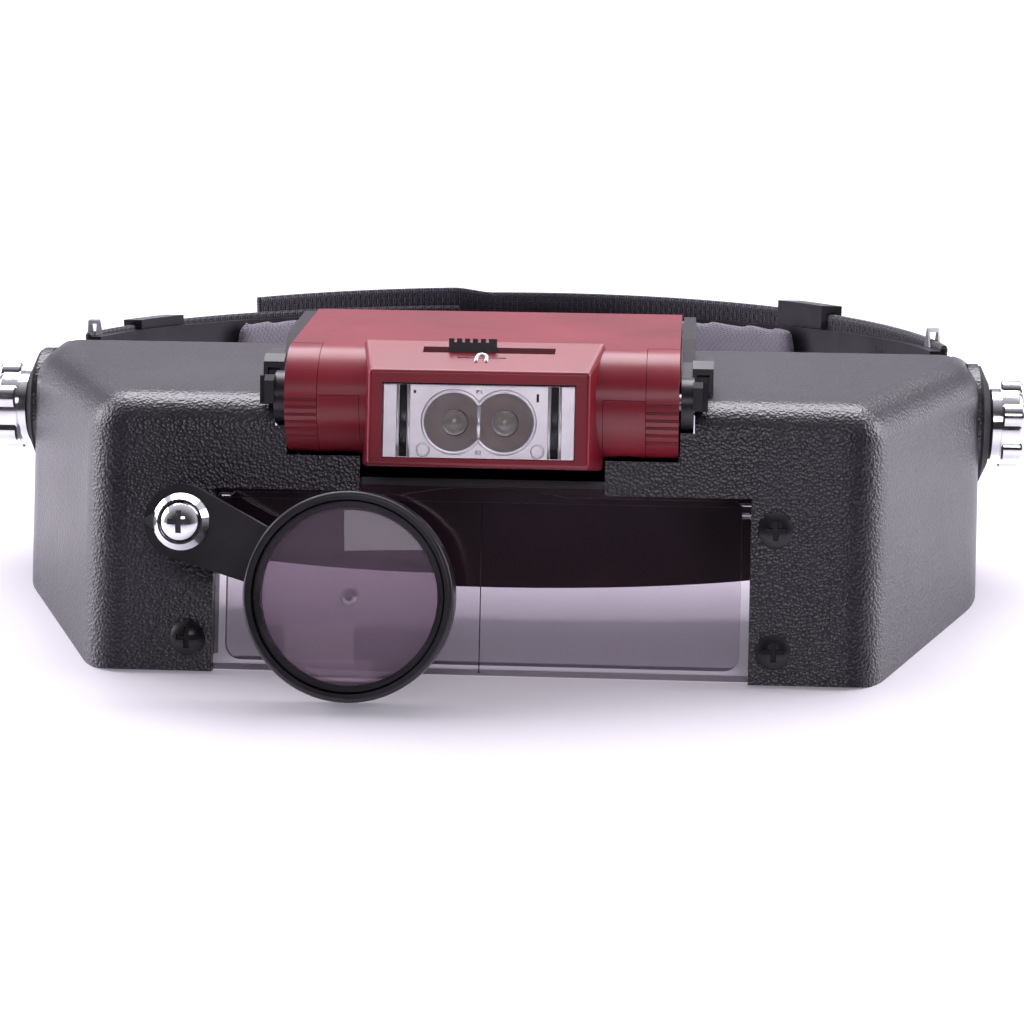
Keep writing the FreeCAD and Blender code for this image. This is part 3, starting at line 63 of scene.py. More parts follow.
class Look:
    """A Principled material with short ways to feed its sockets."""

    def __init__(self, name, color, roughness, **sockets):
        self.material = bpy.data.materials.new(name)
        self.material.use_nodes = True
        self.tree = self.material.node_tree
        self.shader = self.tree.nodes["Principled BSDF"]
        self.output = self.tree.nodes["Material Output"]
        self.shader.inputs["Base Color"].default_value = (*color, 1)
        self.shader.inputs["Roughness"].default_value = roughness
        for socket, value in sockets.items():
            self.shader.inputs[socket.replace("_", " ")].default_value = value
        self.place = self.add("ShaderNodeTexCoord").outputs["Object"]
        self.height = None

    def add(self, kind, **settings):
        made = self.tree.nodes.new(kind)
        for name, value in settings.items():
            setattr(made, name, value)
        return made

    def feed(self, socket, source):
        """Links an output, or sets a plain value."""
        if hasattr(source, "is_output"):
            self.tree.links.new(source, socket)
        else:
            socket.default_value = source

    def math(self, operation, first, second=0.0, clamp=False):
        made = self.add("ShaderNodeMath", operation=operation, use_clamp=clamp)
        self.feed(made.inputs[0], first)
        self.feed(made.inputs[1], second)
        return made.outputs[0]

    def stretched(self, scale):
        """Object coordinates, scaled per axis."""
        made = self.add("ShaderNodeMapping")
        self.feed(made.inputs["Vector"], self.place)
        made.inputs["Scale"].default_value = scale
        return made.outputs[0]

    def noise(self, size, detail=3.0, roughness=0.55, place=None):
        """Noise whose blotches are about size metres across."""
        made = self.add("ShaderNodeTexNoise")
        self.feed(made.inputs["Vector"], place or self.place)
        made.inputs["Scale"].default_value = 1 / size
        made.inputs["Detail"].default_value = detail
        made.inputs["Roughness"].default_value = roughness
        return made.outputs["Fac"]

    def cells(self, size, feature="F1"):
        made = self.add("ShaderNodeTexVoronoi", feature=feature)
        self.feed(made.inputs["Vector"], self.place)
        made.inputs["Scale"].default_value = 1 / size
        return made.outputs["Distance"]

    def ramp(self, source, low, high, out_low=0.0, out_high=1.0):
        made = self.add("ShaderNodeMapRange")
        self.feed(made.inputs["Value"], source)
        for name, value in (("From Min", low), ("From Max", high), ("To Min", out_low), ("To Max", out_high)):
            made.inputs[name].default_value = value
        return made.outputs[0]

    def blend(self, factor, first, second):
        """A colour between two, given as tuples or outputs."""
        made = self.add("ShaderNodeMix", data_type="RGBA")
        self.feed(made.inputs[0], factor)
        self.feed(made.inputs[6], (*first, 1) if isinstance(first, tuple) else first)
        self.feed(made.inputs[7], (*second, 1) if isinstance(second, tuple) else second)
        return made.outputs[2]

    def vary_color(self, factor, first, second):
        self.feed(self.shader.inputs["Base Color"], self.blend(factor, first, second))

    def vary_roughness(self, source, low, high):
        self.feed(self.shader.inputs["Roughness"], self.ramp(source, 0.3, 0.7, low, high))

    def bump(self, height, depth, strength=1.0):
        """Relief of depth metres; several can be laid over each other."""
        made = self.add("ShaderNodeBump")
        made.inputs["Strength"].default_value = strength
        made.inputs["Distance"].default_value = depth
        self.feed(made.inputs["Height"], height)
        if self.height is not None:
            self.feed(made.inputs["Normal"], self.height)
        self.height = made.outputs["Normal"]
        self.feed(self.shader.inputs["Normal"], self.height)

    def scuffs(self, depth=0.00002):
        """Fine hair scratches and handling marks."""
        hair = self.noise(0.0009, 2, 0.5, self.stretched((1, 0.08, 0.5)))
        self.bump(self.ramp(hair, 0.6, 0.72), depth, 0.5)


def grained_plastic():
    """Moulded black plastic with a fine, glossy leather grain."""
    look = Look("visor_plastic", (0.02, 0.019, 0.025), 0.32, Specular_IOR_Level=0.85)
    pebbles = look.cells(0.0006)
    coarse = look.cells(0.0011, "SMOOTH_F1")
    patches = look.noise(0.03, 3)
    look.vary_color(look.ramp(patches, 0.35, 0.7), (0.0080, 0.0070, 0.0125), (0.0125, 0.0110, 0.0185))
    look.vary_roughness(patches, 0.28, 0.38)
    look.bump(coarse, 0.00004, 0.6)
    look.bump(pebbles, 0.00011, 1.0)
    look.bump(look.noise(0.0004, 2), 0.00004, 0.6)
    return look.material


def smooth_black(name, roughness=0.32, color=(0.012, 0.0115, 0.014)):
    look = Look(name, color, roughness, Specular_IOR_Level=0.5)
    patches = look.noise(0.012, 4)
    look.vary_roughness(patches, roughness - 0.06, roughness + 0.08)
    look.vary_color(look.ramp(patches, 0.3, 0.75), color, tuple(c * 1.7 for c in color))
    look.bump(look.noise(0.0007, 2), 0.000012, 0.4)
    look.scuffs()
    return look.material


def lens_glass(name, color, roughness=0.0, ior=1.49, edge=None, veil=None):
    """Clear plastic or glass; light from the lamps passes through instead of leaving a dark shadow.

    With edge, faces that don't look along the lens's normal are cut edges, frosted in that colour.
    With veil, a share of that colour lies over the glass as glare on a scuffed face.
    """
    look = Look(name, color, roughness, Transmission_Weight=1.0, IOR=ior)
    look.bump(look.noise(0.02, 1), 0.00002, 0.12)
    clear = look.add("ShaderNodeBsdfTransparent")
    clear.inputs[0].default_value = (*color, 1)
    path = look.add("ShaderNodeLightPath")
    surface = look.shader.outputs[0]
    if edge:
        frosted = look.add("ShaderNodeBsdfPrincipled")
        frosted.inputs["Base Color"].default_value = (*edge, 1)
        frosted.inputs["Roughness"].default_value = 0.4
        facing = look.add("ShaderNodeVectorMath", operation="DOT_PRODUCT")
        look.feed(facing.inputs[0], look.add("ShaderNodeTexCoord").outputs["Normal"])
        facing.inputs[1].default_value = LENS_NORMAL
        is_edge = look.math("LESS_THAN", look.math("ABSOLUTE", facing.outputs["Value"]), 0.7)
        two = look.add("ShaderNodeMixShader")
        look.feed(two.inputs[0], is_edge)
        look.feed(two.inputs[1], surface)
        look.feed(two.inputs[2], frosted.outputs[0])
        surface = two.outputs[0]
    if veil:
        haze = look.add("ShaderNodeBsdfDiffuse")
        haze.inputs["Color"].default_value = (*veil, 1)
        veiled = look.add("ShaderNodeMixShader")
        veiled.inputs[0].default_value = 0.14
        look.feed(veiled.inputs[1], surface)
        look.feed(veiled.inputs[2], haze.outputs[0])
        surface = veiled.outputs[0]
    mix = look.add("ShaderNodeMixShader")
    look.feed(mix.inputs[0], path.outputs["Is Shadow Ray"])
    look.feed(mix.inputs[1], surface)
    look.feed(mix.inputs[2], clear.outputs[0])
    look.feed(look.output.inputs["Surface"], mix.outputs[0])
    return look.material


def bare_metal(name, color, roughness, grain=0.0004):
    look = Look(name, color, roughness, Metallic=1.0)
    patches = look.noise(0.004, 4)
    look.vary_roughness(patches, max(0.02, roughness - 0.05), roughness + 0.12)
    look.vary_color(look.ramp(patches, 0.3, 0.8), color, tuple(c * 0.82 for c in color))
    look.bump(look.noise(grain, 2, 0.5, look.stretched((1, 1, 0.1))), 0.000008, 0.4)
    return look.material


def red_plastic():
    """Glossy moulded plastic, dark wine red, with a faint spark-eroded texture."""
    look = Look("lamp_red", (0.22, 0.008, 0.020), 0.33, Specular_IOR_Level=0.5, Coat_Weight=0.15,
                Coat_Roughness=0.2)
    patches = look.noise(0.018, 3)
    look.vary_color(look.ramp(patches, 0.3, 0.7), (0.20, 0.007, 0.017), (0.26, 0.011, 0.026))
    look.vary_roughness(patches, 0.29, 0.4)
    look.bump(look.noise(0.00028, 2), 0.000012, 0.6)
    look.scuffs(0.000012)
    return look.material


def rubber():
    look = Look("rubber", (0.014, 0.014, 0.016), 0.68, Specular_IOR_Level=0.35)
    dust = look.noise(0.003, 5)
    look.vary_color(look.ramp(dust, 0.45, 0.8), (0.013, 0.013, 0.015), (0.045, 0.044, 0.048))
    look.bump(look.noise(0.0005, 3), 0.00004, 0.5)
    return look.material


def emitter_resin():
    """A light emitter: yellowish phosphor seen through cloudy resin."""
    look = Look("led", (0.42, 0.38, 0.27), 0.18, Subsurface_Weight=0.15, Coat_Weight=0.8, Coat_Roughness=0.04)
    look.vary_color(look.ramp(look.noise(0.0016, 2), 0.3, 0.7), (0.25, 0.235, 0.225), (0.34, 0.31, 0.24))
    look.bump(look.noise(0.0012, 1), 0.00002, 0.3)
    return look.material


def circuit_board():
    look = Look("circuit_board", (0.02, 0.11, 0.05), 0.35, Coat_Weight=0.4)
    tracks = look.cells(0.0022)
    look.vary_color(look.ramp(tracks, 0.42, 0.5), (0.015, 0.10, 0.045), (0.03, 0.17, 0.07))
    look.bump(look.ramp(tracks, 0.42, 0.5), 0.00004, 0.6)
    return look.material


def cell_sleeve():
    """A battery's plain shrink sleeve, dark with a copper band at one end."""
    look = Look("cell", (0.03, 0.035, 0.05), 0.28, Coat_Weight=0.5)
    axis = look.add("ShaderNodeSeparateXYZ")
    look.feed(axis.inputs[0], look.place)
    band = look.math("GREATER_THAN", look.math("ABSOLUTE", axis.outputs["X"]), 0.0135)
    look.vary_color(band, (0.022, 0.026, 0.038), (0.36, 0.16, 0.06))
    look.bump(look.noise(0.004, 3), 0.00004, 0.4)
    return look.material


def leatherette():
    look = Look("pad_leatherette", (0.02, 0.017, 0.02), 0.5, Sheen_Weight=0.15)
    creases = look.cells(0.0021, "DISTANCE_TO_EDGE")
    patches = look.noise(0.016, 4)
    look.vary_color(look.ramp(patches, 0.3, 0.75), (0.016, 0.0135, 0.016), (0.040, 0.034, 0.040))
    look.vary_roughness(patches, 0.42, 0.58)
    look.bump(look.ramp(creases, 0.0, 0.12), 0.00012, 0.7)
    look.bump(look.noise(0.006, 4), 0.0003, 0.35)
    return look.material


def woven(name, dark, pale, pitch, sheen=0.3):
    """Cloth whose threads follow the strip: 'strip_uv' holds metres along it and up it."""
    look = Look(name, dark, 0.8, Sheen_Weight=sheen, Sheen_Roughness=0.5, Specular_IOR_Level=0.25)
    strip = look.add("ShaderNodeAttribute", attribute_name="strip_uv")
    parts = look.add("ShaderNodeSeparateXYZ")
    look.feed(parts.inputs[0], strip.outputs["Vector"])
    turns = math.pi / pitch
    across = look.math("SINE", look.math("MULTIPLY", parts.outputs["X"], turns))
    up = look.math("SINE", look.math("MULTIPLY", parts.outputs["Y"], turns))
    over = look.math("MULTIPLY", across, up)
    warp = look.math("ABSOLUTE", look.math("SINE", look.math("MULTIPLY", parts.outputs["Y"], turns * 2)))
    weft = look.math("ABSOLUTE", look.math("SINE", look.math("MULTIPLY", parts.outputs["X"], turns * 2)))
    chosen = look.math("GREATER_THAN", over, 0.0)
    thread = look.add("ShaderNodeMix", data_type="FLOAT")
    look.feed(thread.inputs[0], chosen)
    look.feed(thread.inputs[2], warp)
    look.feed(thread.inputs[3], weft)
    fuzz = look.noise(0.0007, 3)
    tone = look.math("MULTIPLY", thread.outputs[0], look.ramp(look.noise(0.03, 3), 0.3, 0.7, 0.7, 1.0))
    look.vary_color(tone, dark, pale)
    look.bump(thread.outputs[0], pitch * 0.22, 0.8)
    look.bump(fuzz, 0.00008, 0.5)
    return look.material


MATERIALS = {
    "visor_plastic": grained_plastic(),
    # The main lens is tinted greyer than clear plastic: painted shade over what is seen through it.
    "lens_clear": lens_glass("lens_clear", (0.82, 0.785, 0.83), edge=(0.80, 0.78, 0.82)),
    "black_plastic": smooth_black("black_plastic"),
    "screw_black": bare_metal("screw_black", (0.05, 0.048, 0.052), 0.34),
    "steel": bare_metal("steel", (0.52, 0.52, 0.54), 0.3),
    "chrome": bare_metal("chrome", (0.86, 0.86, 0.89), 0.09, 0.0009),
    "rubber": rubber(),
    "lamp_red": red_plastic(),
    "reflector": bare_metal("reflector", (0.95, 0.94, 0.96), 0.34, 0.002),
    "led": emitter_resin(),
    "circuit_board": circuit_board(),
    "cell": cell_sleeve(),
    "band_plastic": smooth_black("band_plastic", 0.36, (0.028, 0.006, 0.010)),
    "pad_leatherette": leatherette(),
    "pad_grey": woven("pad_grey", (0.075, 0.065, 0.09), (0.22, 0.20, 0.25), 0.0008, 0.35),
    "webbing": woven("webbing", (0.016, 0.015, 0.021), (0.055, 0.05, 0.068), 0.0013),
}


def dress(obj, slot):
    obj.data.materials.clear()
    obj.data.materials.append(MATERIALS[slot])


for name, obj in NODES.items():
    dress(obj, SLOT_OF[name])
# The loupe's glass is tinted dark purple: painted shade over the view through it.
NODES["loupe_lens"].data.materials[0] = lens_glass("loupe_glass_shade_tint", (0.46, 0.37, 0.43), ior=1.52,
                                                   veil=(0.62, 0.50, 0.62))
NODES["lamp_window"].data.materials[0] = lens_glass("window_clear", (0.97, 0.96, 0.975))


# ---- band geometry: every strip follows an ellipse round the head -------------------------------

def hoop_reach(node, half):
    """How far the ellipse of a side arm reaches behind the pivot."""
    low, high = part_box(node)
    return (high.y - PIVOT.y) / math.sqrt(1 - (low.x / half) ** 2)


ARM_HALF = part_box("rear_arm_right")[1].x
ARM_REACH = hoop_reach("rear_arm_right", ARM_HALF)
FALL_LONG, FALL_SHORT, FALL_PAD = 0.155, 0.181, 0.183      # fall of each top edge, per metre to the rear


class Hoop:
    """An ellipse round the head; turn 0 is the middle of the rear (or front) and grows to the right."""

    def __init__(self, half, reach, first, last, steps, ahead=0.0):
        self.half, self.reach, self.ahead = half, reach, ahead
        fine = np.linspace(first, last, 2000)
        run = np.hypot(np.diff(half * np.sin(fine)), np.diff(reach * np.cos(fine)))
        self.length_at = np.concatenate([[0], np.cumsum(run)])
        self.fine, self.length = fine, self.length_at[-1]
        self.along = np.linspace(0, self.length, steps)

    def turn(self, along):
        return np.interp(along, self.length_at, self.fine)

    def place(self, along, out=0.0):
        """A point of the ellipse and the horizontal direction out of the head there."""
        turn = self.turn(along)
        outward = Vector((math.sin(turn) / self.half, math.cos(turn) / self.reach, 0)).normalized()
        spot = Vector((self.half * math.sin(turn), self.reach * math.cos(turn), 0))
        return spot + outward * out - Vector((0, self.ahead, 0)), outward


def finish_skin(piece, slot):
    dress(piece, slot)
    piece.data.polygons.foreach_set("use_smooth", [True] * len(piece.data.polygons))


def side_turn(half, x):
    return math.asin(x / half)


def new_piece(name, mesh, slot, body="headband"):
    """Links a mesh as a piece that rides on a body and wears a slot's material."""
    piece = bpy.data.objects.new(name, mesh)
    bpy.context.scene.collection.objects.link(piece)
    finish_skin(piece, slot)
    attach(piece, body)
    return piece


def tube_faces(base, around, rings, closed=False):
    """Faces that join rings of corners into a tube, which meets itself or has an end cap at each end."""
    faces = []
    for ring in range(rings if closed else rings - 1):
        start, following = base + ring * around, base + (ring + 1) % rings * around
        for turn in range(around):
            after = (turn + 1) % around
            faces.append((start + turn, start + after, following + after, following + turn))
    if not closed:
        last = base + (rings - 1) * around
        faces += [tuple(reversed(range(base, base + around))), tuple(range(last, last + around))]
    return faces


def outward_mesh(name, corners, faces):
    """A mesh whose faces all look outwards."""
    mesh = bpy.data.meshes.new(name)
    mesh.from_pydata(corners, [], faces)
    made = bmesh.new()
    made.from_mesh(mesh)
    bmesh.ops.recalc_face_normals(made, faces=made.faces)
    made.to_mesh(mesh)
    made.free()
    return mesh


def sweep_mesh(name, rings, strip=None):
    """A closed skin over rings of points; strip gives (along, up) in metres for each point."""
    corners = [point for ring in rings for point in ring]
    mesh = outward_mesh(name, corners, tube_faces(0, len(rings[0]), len(rings)))
    if strip is not None:
        store_strip(mesh, [(along, up, 0.0) for row in strip for along, up in row])
    return mesh


def store_strip(mesh, values):
    layer = mesh.attributes.new("strip_uv", "FLOAT_VECTOR", "POINT")
    layer.data.foreach_set("vector", np.asarray(values, dtype=np.float32).ravel())


def round_section(thick, tall, power, points):
    """A rounded, crowned section as (out, up) pairs."""
    section = []
    for step in range(points):
        turn = 2 * math.pi * (step + 0.5) / points
        cosine, sine = math.cos(turn), math.sin(turn)
        section.append((math.copysign(abs(cosine) ** (2 / power), cosine) * thick / 2,
                        math.copysign(abs(sine) ** (2 / power), sine) * tall / 2))
    return section


def smooth_step(value):
    value = min(1.0, max(0.0, value))
    return value * value * (3 - 2 * value)


# ---- straps -------------------------------------------------------------------------------------

STRAP_PITCH = 1.5 * MM
SELVEDGE = 1.3 * MM


def webbing_strip(name, hoop, thick, tall, top_at, out_at, replaced):
    """Flat webbing: fine ribs across it, a plain bead along each edge, square sealed ends."""
    rows, rings, strip = 11, [], []
    levels = [0.0, SELVEDGE * 0.5, SELVEDGE, SELVEDGE * 1.15]
    levels += [SELVEDGE * 1.15 + (tall - 2.3 * SELVEDGE) * step / rows for step in range(1, rows)]
    levels += [tall - level for level in (SELVEDGE * 1.15, SELVEDGE, SELVEDGE * 0.5, 0.0)]
    for along in hoop.along:
        rib = math.cos(2 * math.pi * along / STRAP_PITCH)
        spot, outward = hoop.place(along)
        top = top_at(spot)
        ring, places = [], []
        for side in (1, -1):
            for level in (levels if side > 0 else reversed(levels)):
                edge = min(level, tall - level)
                if edge < SELVEDGE * 0.3:
                    half = thick * 0.30
                elif edge <= SELVEDGE * 1.05:
                    half = thick * 0.5
                else:
                    half = thick * 0.42 + 0.07 * MM * rib
                flat = spot + outward * (out_at(spot) + side * half)
                ring.append(Vector((flat.x, PIVOT.y + flat.y, PIVOT.z + top - tall + level)))
                places.append((along, level))
        rings.append(ring)
        strip.append(places)
    piece = new_piece(name, sweep_mesh(name, rings, strip), "webbing")
    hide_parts(replaced)
    return piece


def make_straps():
    """The short strap on the left arm, and the long one that steps out over it and ends on the left."""
    low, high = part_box("rear_strap")
    gap, thick = 0.1 * MM, (high.y - PIVOT.y) - ARM_REACH - 0.1 * MM
    tall_long, top_long = 24.4 * MM, 15 * MM
    start = math.acos((low.y - PIVOT.y) / (high.y - PIVOT.y))
    lap, lap_lift, lap_from, lap_to = 1.45 * MM, 1.0 * MM, -13 * MM, -23 * MM

    def lapped(spot):
        return smooth_step((spot.x - lap_from) / (lap_to - lap_from)) if spot.y > 0 else 0.0

    reach, half = ARM_REACH + gap + thick / 2, ARM_HALF + gap + thick / 2
    hoop = Hoop(half, reach, side_turn(half, low.x), start, 1000)
    webbing_strip("webbing_long", hoop, thick * 0.94, tall_long,
                  lambda spot: top_long - FALL_LONG * spot.y + lap_lift * lapped(spot),
                  lambda spot: lap * lapped(spot), "rear_strap")
    inset = 2.2 * MM
    free_end = stitch_box(hoop, 1.6 * MM, 9 * MM, tall_long - 2 * inset, top_long + lap_lift - inset,
                          FALL_LONG, lap + thick * 0.42)
    front_end = stitch_box(hoop, hoop.length - 13 * MM, 7 * MM, tall_long - 2 * inset, top_long - inset,
                           FALL_LONG, thick * 0.42)
    make_stitches("strap_stitches", free_end + front_end, 1.8 * MM, 0.4 * MM)
    thin, tall_short = 1.35 * MM, 20.9 * MM
    reach, half = ARM_REACH + gap + thin / 2, ARM_HALF + gap + thin / 2
    inner_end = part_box("short_strap")[1].x
    hoop = Hoop(half, reach, -start, side_turn(half, inner_end), 640)
    webbing_strip("webbing_short", hoop, thin * 0.94, tall_short,
                  lambda spot: top_long - FALL_SHORT * spot.y, lambda spot: 0.0, "short_strap")


# ---- pads ---------------------------------------------------------------------------------------

CLOTH_FRAMES = 20


def puff(piece, voxel, pressure, cap):
    """Inflates a closed shape as cloth; no point moves further than cap."""
    before = piece.data
    bpy.context.view_layer.objects.active = piece
    remesh = piece.modifiers.new("remesh", "REMESH")
    remesh.mode, remesh.voxel_size = "VOXEL", voxel
    settle(piece)
    rest = points_of(piece.data)
    cloth = piece.modifiers.new("cloth", "CLOTH")
    cloth.settings.quality = 5
    cloth.settings.mass = 0.15
    cloth.settings.tension_stiffness = cloth.settings.compression_stiffness = 12
    cloth.settings.bending_stiffness = 0.4
    cloth.settings.use_pressure = True
    cloth.settings.uniform_pressure_force = pressure
    cloth.settings.effector_weights.gravity = 0
    cloth.point_cache.frame_start, cloth.point_cache.frame_end = 1, CLOTH_FRAMES
    for moment in range(1, CLOTH_FRAMES + 1):
        bpy.context.scene.frame_set(moment)
    settle(piece)
    bpy.context.scene.frame_set(1)
    moved = points_of(piece.data) - rest
    far = np.linalg.norm(moved, axis=1, keepdims=True)
    moved *= np.minimum(1.0, cap / np.maximum(far, 1e-9))
    write_points(piece.data, rest + moved)
    if before.users == 0:
        bpy.data.meshes.remove(before)


def settle(piece):
    """Turns the piece's modifiers into its mesh."""
    graph = bpy.context.evaluated_depsgraph_get()
    graph.update()
    mesh = bpy.data.meshes.new_from_object(piece.evaluated_get(graph))
    piece.modifiers.clear()
    piece.data = mesh


def points_of(mesh):
    flat = np.empty(len(mesh.vertices) * 3, dtype=np.float64)
    mesh.vertices.foreach_get("co", flat)
    return flat.reshape(-1, 3)


def write_points(mesh, points):
    mesh.vertices.foreach_set("co", np.ascontiguousarray(points, dtype=np.float32).ravel())
    mesh.update()


def make_pad(name, node, hoop, thick, tall, top_at, slot, pitch):
    """A stuffed strip: swept, inflated, then pressed in along its sewn channels."""
    swell, rings, section_points, end = 0.5 * MM, [], 36, 4.5 * MM
    for along in hoop.along:
        near_end = max(0.0, 1 - min(along, hoop.length - along) / end)
        shrink = max(0.25, (1 - near_end ** 2.4) ** (1 / 2.4))
        spot, outward = hoop.place(along, -thick / 2)
        middle = top_at(spot) - tall / 2
        ring = []
        for out, up in round_section(thick - 2 * swell, tall - 2 * swell, 3.6, section_points):
            flat = spot + outward * out * shrink
            ring.append(Vector((flat.x, PIVOT.y + flat.y, PIVOT.z + middle + up * shrink)))
        rings.append(ring)
    piece = new_piece(name, sweep_mesh(name, rings), slot)
    puff(piece, 1.5 * MM, 4.0, 0.9 * MM)
    subdivide(piece)
    points = points_of(piece.data)
    x, y = points[:, 0], points[:, 1] - PIVOT.y + hoop.ahead
    turn = np.arctan2(x / hoop.half, y / hoop.reach)
    along = np.interp(turn, hoop.fine, hoop.length_at)
    level = np.hypot(x / hoop.half, y / hoop.reach)
    steep = np.hypot(x / hoop.half ** 2, y / hoop.reach ** 2) / level
    out = (level - 1) / steep
    outward = np.stack([x / hoop.half ** 2, y / hoop.reach ** 2, np.zeros_like(x)], 1)
    outward /= np.linalg.norm(outward, axis=1, keepdims=True)
    channels = np.arange(pitch / 2, hoop.length, pitch) if pitch else np.array([])
    press = np.zeros_like(x)
    for channel in channels:
        press += np.exp(-((along - channel) / (1.1 * MM)) ** 2)
    depth = 0.9 * MM * press * np.clip(-out / thick, 0, 1)
    points += outward * np.minimum(depth - np.maximum(out + 0.05 * MM, 0), 1)[:, None]
    write_points(piece.data, points)
    store_strip(piece.data, np.stack([along, points[:, 2], np.zeros_like(x)], 1))
    finish_skin(piece, slot)
    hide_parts(node)
    return piece


def subdivide(piece):
    """Relaxes the cloth's small wrinkles, then makes the surface finer."""
    relaxed = piece.modifiers.new("relax", "SMOOTH")
    relaxed.factor, relaxed.iterations = 0.5, 16
    modifier = piece.modifiers.new("finer", "SUBSURF")
    modifier.levels = modifier.render_levels = 1
    settle(piece)


def make_pads():
    """The grey pad inside the rear and the dark pad inside the forehead band."""
    low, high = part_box("rear_pad")
    half, reach = ARM_HALF - (ARM_REACH - (high.y - PIVOT.y)), high.y - PIVOT.y
    hoop = Hoop(half, reach, side_turn(half, low.x), side_turn(half, high.x), 90)
    make_pad("rear_cushion", "rear_pad", hoop, 5 * MM, 20.5 * MM,
             lambda spot: 14.6 * MM - FALL_PAD * spot.y, "pad_grey", 0)
    low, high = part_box("forehead_pad")
    ahead = 10 * MM
    reach = low.y - PIVOT.y + ahead
    half = high.x / math.sqrt(1 - ((high.y - PIVOT.y + ahead) / reach) ** 2)
    end = side_turn(half, high.x - 0.4 * MM)
    hoop = Hoop(half, reach, -end, end, 90, ahead)
    rise = 0.29
    make_pad("forehead_cushion", "forehead_pad", hoop, 6 * MM, 18.2 * MM,
             lambda spot: (-0.8 * MM + rise * (spot.y + 18 * MM)), "pad_leatherette", 22 * MM)


def make_stitches(name, spots, long, thick):
    """Threads lying on cloth: each spot is (middle, direction, outward)."""
    shape = ((-0.5, 0.2), (-0.34, 0.8), (0.0, 1.0), (0.34, 0.8), (0.5, 0.2))
    around, corners, faces = 6, [], []
    for middle, along, outward in spots:
        across = along.cross(outward)
        base = len(corners)
        for reach, width in shape:
            lift = outward * (thick * (width - 0.75))
            for turn in range(around):
                angle = 2 * math.pi * turn / around
                corners.append(middle + along * (reach * long) + lift
                               + (across * math.cos(angle) + outward * math.sin(angle)) * (thick / 2 * width))
        faces += tube_faces(base, around, len(shape))
    mesh = bpy.data.meshes.new(name)
    mesh.from_pydata(corners, [], faces)
    return new_piece(name, mesh, "webbing")


def stitch_box(hoop, start, wide, tall, top, fall, out):
    """Stitches round a rectangle on a strap and across its diagonals, as (middle, direction, outward)."""
    corners = [(0, 0), (wide, 0), (wide, tall), (0, tall)]
    lines = [(corners[i], corners[(i + 1) % 4]) for i in range(4)]
    lines += [(corners[0], corners[2]), (corners[1], corners[3])]
    pitch, spots = 2.1 * MM, []
    for (a0, u0), (a1, u1) in lines:
        count = max(2, round(math.hypot(a1 - a0, u1 - u0) / pitch))
        ends = [(a0 + (a1 - a0) * i / count, u0 + (u1 - u0) * i / count) for i in range(count + 1)]
        for (b0, w0), (b1, w1) in zip(ends, ends[1:]):
            pair = []
            for along, up in ((b0, w0), (b1, w1)):
                spot, outward = hoop.place(start + along, out)
                pair.append(Vector((spot.x, PIVOT.y + spot.y, PIVOT.z + top - fall * spot.y - up)))
            spots.append(((pair[0] + pair[1]) / 2, (pair[1] - pair[0]).normalized(), outward))
    return spots


# ---- small moulded details ----------------------------------------------------------------------

PLATE_FACE, HEAD_FACE, LENS_FACE = -72.2, -62.0, -59.3      # visor millimetres


def on_plate(x, z, lift):
    return x, PLATE_FACE - lift, z


def on_head(x, y, lift):
    """A point over the sloping top of the lamp's head."""
    return x, y - 0.459 * lift, 11.6 + 0.5167 * (y - HEAD_FACE) + 0.888 * lift


def on_lens(x, z, lift):
    return x, LENS_FACE - lift, z


def ridge(name, lines, wide, tall, slot, surface, body="lamp"):
    """Low rounded ridges on a surface; each line is its points and whether it closes."""
    around, corners, faces = 8, [], []
    for points, closed in lines:
        count, base = len(points), len(corners)
        for i, (u, v) in enumerate(points):
            before = points[i - 1] if closed or i else points[i]
            after = points[(i + 1) % count] if closed or i < count - 1 else points[i]
            run = Vector((after[0] - before[0], after[1] - before[1])).normalized()
            for turn in range(around):
                angle = 2 * math.pi * turn / around
                aside, lift = wide / 2 * math.cos(angle), tall * math.sin(angle)
                corners.append(VISOR @ (Vector(surface(u - run.y * aside, v + run.x * aside, lift)) * MM))
        faces += tube_faces(base, around, count, closed)
    return new_piece(name, outward_mesh(name, corners, faces), slot, body)


def arc(x, z, radius, first, last, steps):
    """Points of a circle between two angles in degrees."""
    turns = [math.radians(first + (last - first) * step / steps) for step in range(steps + 1)]
    return [(x + radius * math.cos(turn), z + radius * math.sin(turn)) for turn in turns]


